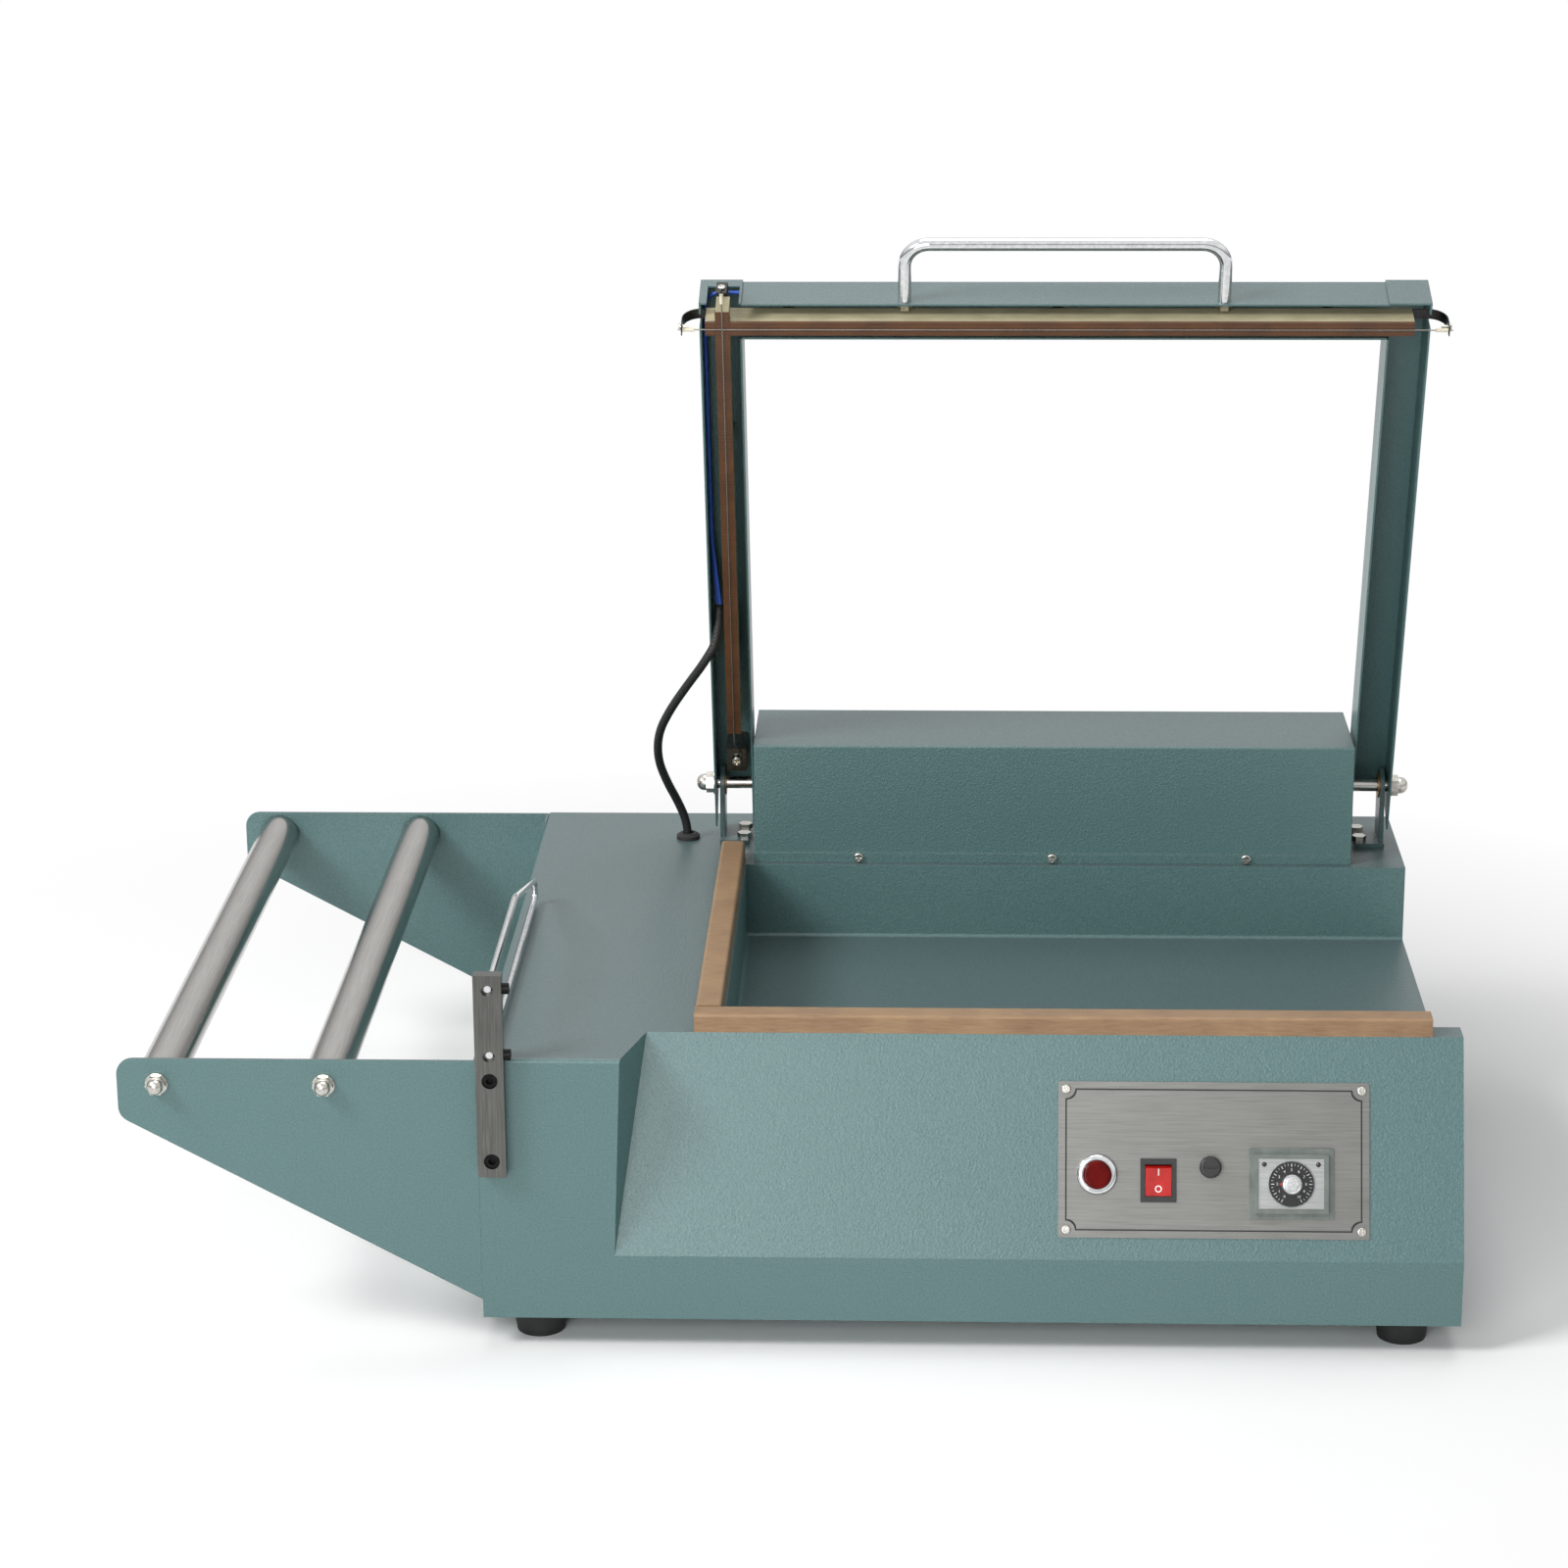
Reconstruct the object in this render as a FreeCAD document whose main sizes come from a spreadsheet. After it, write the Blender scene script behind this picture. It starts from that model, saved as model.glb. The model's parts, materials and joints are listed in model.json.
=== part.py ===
import FreeCAD, Part
import Sketcher
import math
import os
import re

# L-bar film sealer and cutter, with its sealing arm raised and its film cradle on the left.
# Machine axes: X to the right from the casing's left side, Y back from its front face, Z up from
# the floor. Arm axes: the same directions with the arm shut flat, from the middle of its hinge
# line at X 0. Panel axes: X as before, Y up the sloped panel from its fold, Z out of the panel.

V = FreeCAD.Vector
doc = FreeCAD.newDocument("film_sealer")
sheet = doc.addObject("Spreadsheet::Sheet", "sizes")
SIZES = {}
PIECES = []


def sizes(**named):
    """Write named driving dimensions, in millimetres or degrees, into the sheet."""
    for name, value in named.items():
        row = len(SIZES) + 1
        sheet.set("A%d" % row, name.replace("_", " "))
        sheet.set("B%d" % row, str(value))
        sheet.setAlias("B%d" % row, name)
        SIZES[name] = value
    doc.recompute()


# Casing: a folded sheet box with a sloped control panel sunk into its front
CASING_WIDTH = 700
CASING_DEPTH = 570
CASING_HEIGHT = 199
SHEET_WALL = 1.5
BEND_RADIUS = 3
FOOT_HEIGHT = 23
PANEL_SETBACK = 56
FOLD_HEIGHT = 49
CHEEK_WIDTH = 95.5
CHEEK_TOP_WIDTH = 101.5
CHEEK_LEAN = 15.5
END_PANEL = 124
sizes(casing_width=CASING_WIDTH, casing_depth=CASING_DEPTH, casing_height=CASING_HEIGHT,
      sheet_wall=SHEET_WALL, bend_radius=BEND_RADIUS, foot_height=FOOT_HEIGHT,
      panel_setback=PANEL_SETBACK, fold_height=FOLD_HEIGHT, cheek_width=CHEEK_WIDTH,
      cheek_top_width=CHEEK_TOP_WIDTH, cheek_lean=CHEEK_LEAN, end_panel=END_PANEL)
# Goods tray sunk into the deck and open to the right
TRAY_BACK = 434
TRAY_DEPTH = 61
TRAY_SHEET = 1.2
TRAY_BEND = 3
sizes(tray_back=TRAY_BACK, tray_depth=TRAY_DEPTH, tray_sheet=TRAY_SHEET, tray_bend=TRAY_BEND)
# Sealing pads along the tray's front and left edges
PAD_LEFT = 151
PAD_WIDTH = 19
PAD_HEIGHT = 13.4
PAD_ROUND = 2.5
PAD_FRONT_END = 678
PAD_BACK_END = 453
PAD_TRAY_GAP = 1.5
sizes(pad_left=PAD_LEFT, pad_width=PAD_WIDTH, pad_height=PAD_HEIGHT, pad_round=PAD_ROUND,
      pad_front_end=PAD_FRONT_END, pad_back_end=PAD_BACK_END, pad_tray_gap=PAD_TRAY_GAP)
# Bottom pan and feet
PAN_LEFT = 122
PAN_RIGHT = 578
PAN_MARGIN = 14
PAN_DROP = 3.5
FOOT_INSET_X = 38
FOOT_INSET_Y = 35
FOOT_TOP = 41
FOOT_BOTTOM = 35
FOOT_WELL = 18
FOOT_WELL_DEPTH = 12
FOOT_SCREW_HEAD = 12
FOOT_SCREW_LENGTH = 18
sizes(pan_left=PAN_LEFT, pan_right=PAN_RIGHT, pan_margin=PAN_MARGIN, pan_drop=PAN_DROP,
      foot_inset_x=FOOT_INSET_X, foot_inset_y=FOOT_INSET_Y, foot_top=FOOT_TOP, foot_bottom=FOOT_BOTTOM,
      foot_well=FOOT_WELL, foot_well_depth=FOOT_WELL_DEPTH, foot_screw_head=FOOT_SCREW_HEAD,
      foot_screw_length=FOOT_SCREW_LENGTH)
# Rear cover over the hinge shaft and its springs
COVER_LEFT = 178
COVER_RIGHT = 657
COVER_FRONT = 441
COVER_BACK = 543
COVER_HEIGHT = 98
COVER_HEM = 8
COVER_HEM_THICK = 1
COVER_SHAFT_HOLE = 30
RAIL_HEIGHT = 13
RAIL_FOOT = 12
RAIL_INSET = 6
COVER_SCREW_INSET = 84
COVER_SCREW_HEIGHT = 4.5
sizes(cover_left=COVER_LEFT, cover_right=COVER_RIGHT, cover_front=COVER_FRONT, cover_back=COVER_BACK,
      cover_height=COVER_HEIGHT, cover_hem=COVER_HEM, cover_hem_thick=COVER_HEM_THICK,
      cover_shaft_hole=COVER_SHAFT_HOLE, rail_height=RAIL_HEIGHT, rail_foot=RAIL_FOOT,
      rail_inset=RAIL_INSET, cover_screw_inset=COVER_SCREW_INSET,
      cover_screw_height=COVER_SCREW_HEIGHT)
# Sealing arm, sizes with the arm shut
ARM_LEFT = 144
ARM_WIDTH = 548
ARM_REACH = 455
CHANNEL_WIDTH = 32
CHANNEL_HEIGHT = 38
WEB_RISE = 18
CHANNEL_WALL = 1.5
ARM_TAIL = 30
TAIL_CUT = 16
OPEN_ANGLE = 72
HINGE_Y = 505
HINGE_RISE = 47
NOTCH_WIDTH = 24
NOTCH_TOP = 6.5
FRONT_BAR_STEP = 1.5
FRONT_BAR_DEPTH = 30
LEAF_SLOT = 12
sizes(arm_left=ARM_LEFT, arm_width=ARM_WIDTH, arm_reach=ARM_REACH, channel_width=CHANNEL_WIDTH,
      channel_height=CHANNEL_HEIGHT, web_rise=WEB_RISE, channel_wall=CHANNEL_WALL, arm_tail=ARM_TAIL,
      tail_cut=TAIL_CUT, open_angle=OPEN_ANGLE, hinge_y=HINGE_Y, hinge_rise=HINGE_RISE,
      notch_width=NOTCH_WIDTH, notch_top=NOTCH_TOP, front_bar_step=FRONT_BAR_STEP,
      front_bar_depth=FRONT_BAR_DEPTH, leaf_slot=LEAF_SLOT)
# Sealing boards, tape and cutting wires
BOARD_THICK = 10
BOARD_HEIGHT = 24
TAPE_THICK = 0.4
TAPE_LAP = 2.5
WIRE_SIZE = 1
CLOSING_GAP = 0.3
FRONT_BOARD_LEFT = 149
FRONT_BOARD_RIGHT = 678.5
LEFT_BOARD_X = 162
LEFT_BOARD_START = 70.5
LEFT_BOARD_END = 454
LAP_GAP = 0.1
POST_SIZE = 9
POST_INSET = 62
BOARD_SCREW_SIZE = 4
BOARD_SCREW_BITE = 12
sizes(board_thick=BOARD_THICK, board_height=BOARD_HEIGHT, tape_thick=TAPE_THICK, tape_lap=TAPE_LAP,
      wire_size=WIRE_SIZE, closing_gap=CLOSING_GAP, front_board_left=FRONT_BOARD_LEFT,
      front_board_right=FRONT_BOARD_RIGHT, left_board_x=LEFT_BOARD_X,
      left_board_start=LEFT_BOARD_START, left_board_end=LEFT_BOARD_END, lap_gap=LAP_GAP,
      post_size=POST_SIZE, post_inset=POST_INSET, board_screw_size=BOARD_SCREW_SIZE,
      board_screw_bite=BOARD_SCREW_BITE)
# Leaf springs that keep the cutting wires tight
LEAF_WIDTH = 8
LEAF_THICK = 0.8
LEAF_REACH = 18
LEAF_REACH_RIGHT = 26
LEAF_BEND = 14
LEAF_SEAT = 8
LEAF_DROP = 27
SLEEVE_LENGTH = 9
SLEEVE_SIZE = 3
LEAF_SCREW_SIZE = 3
LEAF_SCREW_DROP = 20
LEAF_HOLE = 1.6
LEAF_SCREW_BITE = 6
WIRE_END = 2.5
WIRE_BEND = 5
ANCHOR_ALONG = 28
ANCHOR_LIFT = 1.2
ANCHOR_BLOCK_WIDTH = 16
ANCHOR_BLOCK_LENGTH = 22
ANCHOR_BLOCK_START = 17
ANCHOR_BLOCK_DROP = 8
sizes(leaf_width=LEAF_WIDTH, leaf_thick=LEAF_THICK, leaf_reach=LEAF_REACH,
      leaf_reach_right=LEAF_REACH_RIGHT, leaf_bend=LEAF_BEND, leaf_seat=LEAF_SEAT, leaf_drop=LEAF_DROP,
      sleeve_length=SLEEVE_LENGTH, sleeve_size=SLEEVE_SIZE, leaf_screw_size=LEAF_SCREW_SIZE,
      leaf_screw_drop=LEAF_SCREW_DROP, leaf_hole=LEAF_HOLE, leaf_screw_bite=LEAF_SCREW_BITE,
      wire_end=WIRE_END, wire_bend=WIRE_BEND, anchor_along=ANCHOR_ALONG, anchor_lift=ANCHOR_LIFT,
      anchor_block_width=ANCHOR_BLOCK_WIDTH, anchor_block_length=ANCHOR_BLOCK_LENGTH,
      anchor_block_start=ANCHOR_BLOCK_START, anchor_block_drop=ANCHOR_BLOCK_DROP)
# Handle on the arm's front bar
HANDLE_ROD = 10
HANDLE_SPACING = 239
HANDLE_STANDOFF = 52
HANDLE_BEND = 13
HANDLE_DROP = 13.5
HANDLE_STUD = 6
HANDLE_NUT = 10
HANDLE_NUT_HEIGHT = 5
sizes(handle_rod=HANDLE_ROD, handle_spacing=HANDLE_SPACING, handle_standoff=HANDLE_STANDOFF,
      handle_bend=HANDLE_BEND, handle_drop=HANDLE_DROP, handle_stud=HANDLE_STUD, handle_nut=HANDLE_NUT,
      handle_nut_height=HANDLE_NUT_HEIGHT)
# Hinge brackets, bushes, shaft and spring levers
SHAFT_SIZE = 10
BRACKET_PLATE = 4
BRACKET_GAP = 2.5
BRACKET_WIDTH = 28
BRACKET_FOOT = 23
BRACKET_FOOT_LENGTH = 44
BUSH_WALL = 2.5
BUSH_FLANGE = 1
BUSH_LIP = 2.5
BOLT_PITCH = 24
BOLT_OFFSET = 17.5
LEVER_REACH = 25
LEVER_THICK = 5
LEVER_WIDTH = 9
LEVER_EYE = 4.4
HUB_SIZE = 22
HUB_LENGTH = 9
LEVER_INSET = 52
RUNNING_GAP = 0.05
sizes(shaft_size=SHAFT_SIZE, bracket_plate=BRACKET_PLATE, bracket_gap=BRACKET_GAP,
      bracket_width=BRACKET_WIDTH, bracket_foot=BRACKET_FOOT, bracket_foot_length=BRACKET_FOOT_LENGTH,
      bush_wall=BUSH_WALL, bush_flange=BUSH_FLANGE, bush_lip=BUSH_LIP, bolt_pitch=BOLT_PITCH,
      bolt_offset=BOLT_OFFSET, lever_reach=LEVER_REACH, lever_thick=LEVER_THICK,
      lever_width=LEVER_WIDTH, lever_eye=LEVER_EYE, hub_size=HUB_SIZE, hub_length=HUB_LENGTH,
      lever_inset=LEVER_INSET, running_gap=RUNNING_GAP)
SPRING_WIRE = 1.6
SPRING_COIL = 11
SPRING_PITCH = 4
SPRING_TURNS = 6
SPRING_LOOP = 9
LUG_HEIGHT = 9
LUG_THICK = 3
SWITCH_WIDTH = 10
SWITCH_DEPTH = 20
SWITCH_HEIGHT = 12
sizes(spring_wire=SPRING_WIRE, spring_coil=SPRING_COIL, spring_pitch=SPRING_PITCH,
      spring_turns=SPRING_TURNS, spring_loop=SPRING_LOOP, lug_height=LUG_HEIGHT, lug_thick=LUG_THICK,
      switch_width=SWITCH_WIDTH, switch_depth=SWITCH_DEPTH, switch_height=SWITCH_HEIGHT)
# Film cradle: two cheek plates, two rollers on fixed axles
CRADLE_REACH = 256
CRADLE_DROP = 1.5
CRADLE_NOSE = 44
CRADLE_TAIL = 14
CRADLE_ROUND = 12
CRADLE_SHEET = 2
CRADLE_FLANGE = 22
ROLLER_SIZE = 32
ROLLER_WALL = 1.5
ROLLER_DROP = 20
OUTER_ROLLER_X = 227.5
INNER_ROLLER_X = 108.5
AXLE_SIZE = 8
ROLLER_END_GAP = 2.5
ROLLER_HUB = 14
ROLLER_CAP = 2
CRADLE_BOLT_INSET = 38
sizes(cradle_reach=CRADLE_REACH, cradle_drop=CRADLE_DROP, cradle_nose=CRADLE_NOSE,
      cradle_tail=CRADLE_TAIL, cradle_round=CRADLE_ROUND, cradle_sheet=CRADLE_SHEET,
      cradle_flange=CRADLE_FLANGE, roller_size=ROLLER_SIZE, roller_wall=ROLLER_WALL,
      roller_drop=ROLLER_DROP, outer_roller_x=OUTER_ROLLER_X, inner_roller_x=INNER_ROLLER_X,
      axle_size=AXLE_SIZE, roller_end_gap=ROLLER_END_GAP, roller_hub=ROLLER_HUB, roller_cap=ROLLER_CAP,
      cradle_bolt_inset=CRADLE_BOLT_INSET)
# Film guide: a bar on the casing's front left corner and a slender rod loop in it
GUIDE_BAR_WIDTH = 20
GUIDE_BAR_THICK = 10
GUIDE_BAR_LENGTH = 152
GUIDE_BAR_RISE = 66
GUIDE_BAR_X = 0.5
GUIDE_ROD = 5
ROD_TOP_INSET = 11
ROD_PITCH = 49.5
ROD_GAP = 0.08
ROD_RECESS = 8.6
ROD_RECESS_DEPTH = 3
BAR_BOLT_DROP = 79
BAR_BOLT_PITCH = 61
LOOP_REACH = 332
LOOP_KNEE = 190
LOOP_NOSE_ROUND = 6
LOOP_KNEE_ROUND = 60
sizes(guide_bar_width=GUIDE_BAR_WIDTH, guide_bar_thick=GUIDE_BAR_THICK,
      guide_bar_length=GUIDE_BAR_LENGTH, guide_bar_rise=GUIDE_BAR_RISE, guide_bar_x=GUIDE_BAR_X,
      guide_rod=GUIDE_ROD, rod_top_inset=ROD_TOP_INSET, rod_pitch=ROD_PITCH, rod_gap=ROD_GAP,
      rod_recess=ROD_RECESS, rod_recess_depth=ROD_RECESS_DEPTH, bar_bolt_drop=BAR_BOLT_DROP,
      bar_bolt_pitch=BAR_BOLT_PITCH, loop_reach=LOOP_REACH, loop_knee=LOOP_KNEE,
      loop_nose_round=LOOP_NOSE_ROUND, loop_knee_round=LOOP_KNEE_ROUND)
# Control plate and its controls, places up the panel from its fold
PLATE_LEFT = 412
PLATE_WIDTH = 221
PLATE_LOW = 16
PLATE_HEIGHT = 111
PLATE_THICK = 1
PLATE_CORNER = 1.5
PLATE_SCREW_INSET = 5.5
BUTTON_X = 439.5
BUTTON_UP = 61
BUTTON_RING = 29
BUTTON_RING_RISE = 5
BUTTON_CAP = 20.6
BUTTON_RISE = 3.5
BUTTON_DEPTH = 9
BUTTON_TRAVEL = 3
BUTTON_BARREL = 25
BUTTON_BARREL_DEPTH = 24
BUTTON_STEM = 5
BUTTON_STEM_LENGTH = 10
PANEL_GAP = 0.3
sizes(plate_left=PLATE_LEFT, plate_width=PLATE_WIDTH, plate_low=PLATE_LOW, plate_height=PLATE_HEIGHT,
      plate_thick=PLATE_THICK, plate_corner=PLATE_CORNER, plate_screw_inset=PLATE_SCREW_INSET,
      button_x=BUTTON_X, button_up=BUTTON_UP, button_ring=BUTTON_RING,
      button_ring_rise=BUTTON_RING_RISE, button_cap=BUTTON_CAP, button_rise=BUTTON_RISE,
      button_depth=BUTTON_DEPTH, button_travel=BUTTON_TRAVEL, button_barrel=BUTTON_BARREL,
      button_barrel_depth=BUTTON_BARREL_DEPTH, button_stem=BUTTON_STEM,
      button_stem_length=BUTTON_STEM_LENGTH, panel_gap=PANEL_GAP)
ROCKER_X = 483.2
ROCKER_UP = 57
ROCKER_BEZEL_WIDTH = 25.5
ROCKER_BEZEL_HEIGHT = 31
ROCKER_BEZEL_RISE = 2
ROCKER_WIDTH = 18.5
ROCKER_HEIGHT = 22.3
ROCKER_TILT = 10
ROCKER_BODY_WIDTH = 22
ROCKER_BODY_HEIGHT = 27
ROCKER_BODY_DEPTH = 22
ROCKER_PIVOT_DEPTH = 5
ROCKER_PIN = 3
ROCKER_WELL = 11
ROCKER_RISE = 6.5
ROCKER_DIP = 5.2
ROCKER_ROOT = 3.5
FUSE_X = 520
FUSE_UP = 66.8
FUSE_CAP_SIZE = 15.4
FUSE_CAP_RISE = 6
FUSE_FLANGE = 15.4
FUSE_FLANGE_RISE = 2
FUSE_BODY = 12.5
FUSE_BODY_DEPTH = 32
FUSE_SLOT = 2
FUSE_BORE = 7
FUSE_STEM_LENGTH = 12
FUSE_SLOT_DEPTH = 1.5
sizes(rocker_x=ROCKER_X, rocker_up=ROCKER_UP, rocker_bezel_width=ROCKER_BEZEL_WIDTH,
      rocker_bezel_height=ROCKER_BEZEL_HEIGHT, rocker_bezel_rise=ROCKER_BEZEL_RISE,
      rocker_width=ROCKER_WIDTH, rocker_height=ROCKER_HEIGHT, rocker_tilt=ROCKER_TILT,
      rocker_body_width=ROCKER_BODY_WIDTH, rocker_body_height=ROCKER_BODY_HEIGHT,
      rocker_body_depth=ROCKER_BODY_DEPTH, rocker_pivot_depth=ROCKER_PIVOT_DEPTH,
      rocker_pin=ROCKER_PIN, rocker_well=ROCKER_WELL, rocker_rise=ROCKER_RISE, rocker_dip=ROCKER_DIP,
      rocker_root=ROCKER_ROOT, fuse_x=FUSE_X, fuse_up=FUSE_UP, fuse_cap_size=FUSE_CAP_SIZE,
      fuse_cap_rise=FUSE_CAP_RISE, fuse_flange=FUSE_FLANGE, fuse_flange_rise=FUSE_FLANGE_RISE,
      fuse_body=FUSE_BODY, fuse_body_depth=FUSE_BODY_DEPTH, fuse_slot=FUSE_SLOT, fuse_bore=FUSE_BORE,
      fuse_stem_length=FUSE_STEM_LENGTH, fuse_slot_depth=FUSE_SLOT_DEPTH)
TIMER_X = 577.2
TIMER_UP = 55.4
TIMER_WIDTH = 60
TIMER_HEIGHT = 50
TIMER_RISE = 4
TIMER_FRAME_WIDTH = 52.7
TIMER_FRAME_HEIGHT = 42
TIMER_FRAME_RISE = 3
TIMER_WINDOW_WIDTH = 46.8
TIMER_WINDOW_HEIGHT = 36
TIMER_WINDOW_DEPTH = 2
TIMER_BODY_DEPTH = 48
DIAL_SIZE = 31
DIAL_RISE = 2.5
KNOB_SIZE = 10
KNOB_RISE = 7
DIAL_SPINDLE = 5
SPINDLE_LENGTH = 8
TIMER_LAMP = 3.4
TIMER_LAMP_INSET = 4.2
TIMER_LAMP_RISE = 0.8
POINTER_WIDTH = 3
POINTER_RISE = 0.6
sizes(timer_x=TIMER_X, timer_up=TIMER_UP, timer_width=TIMER_WIDTH, timer_height=TIMER_HEIGHT,
      timer_rise=TIMER_RISE, timer_frame_width=TIMER_FRAME_WIDTH,
      timer_frame_height=TIMER_FRAME_HEIGHT, timer_frame_rise=TIMER_FRAME_RISE,
      timer_window_width=TIMER_WINDOW_WIDTH, timer_window_height=TIMER_WINDOW_HEIGHT,
      timer_window_depth=TIMER_WINDOW_DEPTH, timer_body_depth=TIMER_BODY_DEPTH, dial_size=DIAL_SIZE,
      dial_rise=DIAL_RISE, knob_size=KNOB_SIZE, knob_rise=KNOB_RISE, dial_spindle=DIAL_SPINDLE,
      spindle_length=SPINDLE_LENGTH, timer_lamp=TIMER_LAMP, timer_lamp_inset=TIMER_LAMP_INSET,
      timer_lamp_rise=TIMER_LAMP_RISE, pointer_width=POINTER_WIDTH, pointer_rise=POINTER_RISE)
# Loom from the deck to the arm, its grommet, the arm's wiring and the rear cable gland
LOOM_SIZE = 7
GROMMET_SIZE = 19
GROMMET_COLLAR = 5
GROMMET_NECK = 13
GROMMET_X = 121
GROMMET_Y = 501
GROMMET_DEPTH = 8
LOOM_EASE = 1
ARM_WIRE_SIZE = 3
ARM_WIRE_LEVEL = 4
ARM_WIRE_X = 147.1
ARM_WIRE_ALONG = 450.9
LOOM_END_X = 151.5
LOOM_TAIL = 40
GLAND_SIZE = 22
GLAND_REACH = 12
GLAND_LOCK = 6
GLAND_BORE = 9
GLAND_X = 60
GLAND_RISE = 40
sizes(loom_size=LOOM_SIZE, grommet_size=GROMMET_SIZE, grommet_collar=GROMMET_COLLAR,
      grommet_neck=GROMMET_NECK, grommet_x=GROMMET_X, grommet_y=GROMMET_Y, grommet_depth=GROMMET_DEPTH,
      loom_ease=LOOM_EASE, arm_wire_size=ARM_WIRE_SIZE, arm_wire_level=ARM_WIRE_LEVEL,
      arm_wire_x=ARM_WIRE_X, arm_wire_along=ARM_WIRE_ALONG, loom_end_x=LOOM_END_X, loom_tail=LOOM_TAIL,
      gland_size=GLAND_SIZE, gland_reach=GLAND_REACH, gland_lock=GLAND_LOCK, gland_bore=GLAND_BORE,
      gland_x=GLAND_X, gland_rise=GLAND_RISE)
# Electrical parts inside the casing
CORE_WIDTH = 84
CORE_DEPTH = 60
CORE_HEIGHT = 70
CORE_LEG = 26
CORE_YOKE = 13
COIL_BUILD = 12
TRANSFORMER_X = 85
TRANSFORMER_Y = 420
RELAY_WIDTH = 45
RELAY_DEPTH = 74
RELAY_HEIGHT = 78
RELAY_X = 70
RELAY_Y = 180
TERMINAL_LENGTH = 96
TERMINAL_WIDTH = 22
TERMINAL_HEIGHT = 18
TERMINAL_WAYS = 6
TERMINAL_X = 70
TERMINAL_Y = 285
sizes(core_width=CORE_WIDTH, core_depth=CORE_DEPTH, core_height=CORE_HEIGHT, core_leg=CORE_LEG,
      core_yoke=CORE_YOKE, coil_build=COIL_BUILD, transformer_x=TRANSFORMER_X,
      transformer_y=TRANSFORMER_Y, relay_width=RELAY_WIDTH, relay_depth=RELAY_DEPTH,
      relay_height=RELAY_HEIGHT, relay_x=RELAY_X, relay_y=RELAY_Y, terminal_length=TERMINAL_LENGTH,
      terminal_width=TERMINAL_WIDTH, terminal_height=TERMINAL_HEIGHT, terminal_ways=TERMINAL_WAYS,
      terminal_x=TERMINAL_X, terminal_y=TERMINAL_Y)
# Fasteners
THREAD_GAP = 0.2
PLATE_SCREW_SIZE = 3
COVER_SCREW_SIZE = 4
BRACKET_BOLT_SIZE = 6
GUIDE_SCREW_SIZE = 6
CLAMP_SCREW_SIZE = 4
CRADLE_BOLT_SIZE = 6
FOOT_SCREW_SIZE = 6
AXLE_NUT_WIDTH = 13
AXLE_NUT_HEX = 5
AXLE_NUT_DOME = 6
SHAFT_NUT_WIDTH = 15
SHAFT_NUT_HEX = 6
SHAFT_NUT_DOME = 8
WASHER_THICK = 1.6
AXLE_WASHER = 16
SHAFT_WASHER = 20
sizes(thread_gap=THREAD_GAP, plate_screw_size=PLATE_SCREW_SIZE, cover_screw_size=COVER_SCREW_SIZE,
      bracket_bolt_size=BRACKET_BOLT_SIZE, guide_screw_size=GUIDE_SCREW_SIZE,
      clamp_screw_size=CLAMP_SCREW_SIZE, cradle_bolt_size=CRADLE_BOLT_SIZE,
      foot_screw_size=FOOT_SCREW_SIZE, axle_nut_width=AXLE_NUT_WIDTH, axle_nut_hex=AXLE_NUT_HEX,
      axle_nut_dome=AXLE_NUT_DOME, shaft_nut_width=SHAFT_NUT_WIDTH, shaft_nut_hex=SHAFT_NUT_HEX,
      shaft_nut_dome=SHAFT_NUT_DOME, washer_thick=WASHER_THICK, axle_washer=AXLE_WASHER,
      shaft_washer=SHAFT_WASHER)

# Places that follow from the driving dimensions
PLACES = {
    "table_z": "foot_height + casing_height",
    "fold_z": "foot_height + fold_height",
    "panel_lean": "atan2(panel_setback; casing_height - fold_height)",
    "tray_left": "pad_left + pad_width + pad_tray_gap",
    "tray_front": "panel_setback + pad_width + pad_tray_gap",
    "tray_floor": "table_z - tray_depth",
    "hinge_z": "table_z + hinge_rise",
    "board_bottom": "hinge_rise - pad_height - closing_gap - wire_size - tape_thick",
    "board_top": "board_bottom - board_height",
    "wire_level": "board_bottom + tape_thick + wire_size / 2",
    "wire_along": "hinge_y - panel_setback - pad_width / 2",
    "arm_right": "arm_left + arm_width",
    "arm_middle": "arm_left + arm_width / 2",
    "web_under": "web_rise - channel_wall",
    "wall_foot": "channel_height - web_rise",
    "bar_top": "web_rise - front_bar_step",
    "bar_front": "arm_reach - (channel_width - front_bar_depth) / 2",
    "shaft_reach": "washer_thick + shaft_nut_hex + shaft_nut_dome",
    "cradle_top": "table_z - cradle_drop",
    "roller_z": "table_z - roller_drop",
    "rocker_axis": "plate_thick + rocker_bezel_rise - rocker_pivot_depth",
    "timer_floor": "plate_thick + timer_rise + timer_frame_rise - timer_window_depth",
    "axle_reach": "washer_thick + axle_nut_hex + axle_nut_dome",
    "guide_top": "table_z + guide_bar_rise",
    "rod_top_z": "guide_top - rod_top_inset",
    "rod_low_z": "guide_top - rod_top_inset - rod_pitch",
    "bracket_left": "arm_left + channel_wall + bracket_gap",
    "bracket_right": "arm_right - channel_wall - bracket_gap - bracket_plate",
    "bush_outer": "shaft_size / 2 + running_gap + bush_wall",
    "lever_left": "cover_left + lever_inset",
    "lever_right": "cover_right - lever_inset",
    "rail_back": "cover_back - sheet_wall",
    "lug_y": "hinge_y + lever_reach * sin(open_angle)",
    "lug_z": "table_z + lug_height - spring_wire * 2",
    "centre_x": "(arm_right + shaft_reach - cradle_reach) / 2",
    "centre_y": "casing_depth / 2",
}


def bound(formula):
    """Turn a formula in size and place names into one that points at the sheet's cells."""
    def cell(word):
        name = word.group(0)
        if name in PLACES:
            return "(" + bound(PLACES[name]) + ")"
        return "sizes." + name if name in SIZES else name
    return re.sub(r"[a-z][a-z0-9_]+", cell, str(formula))


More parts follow.
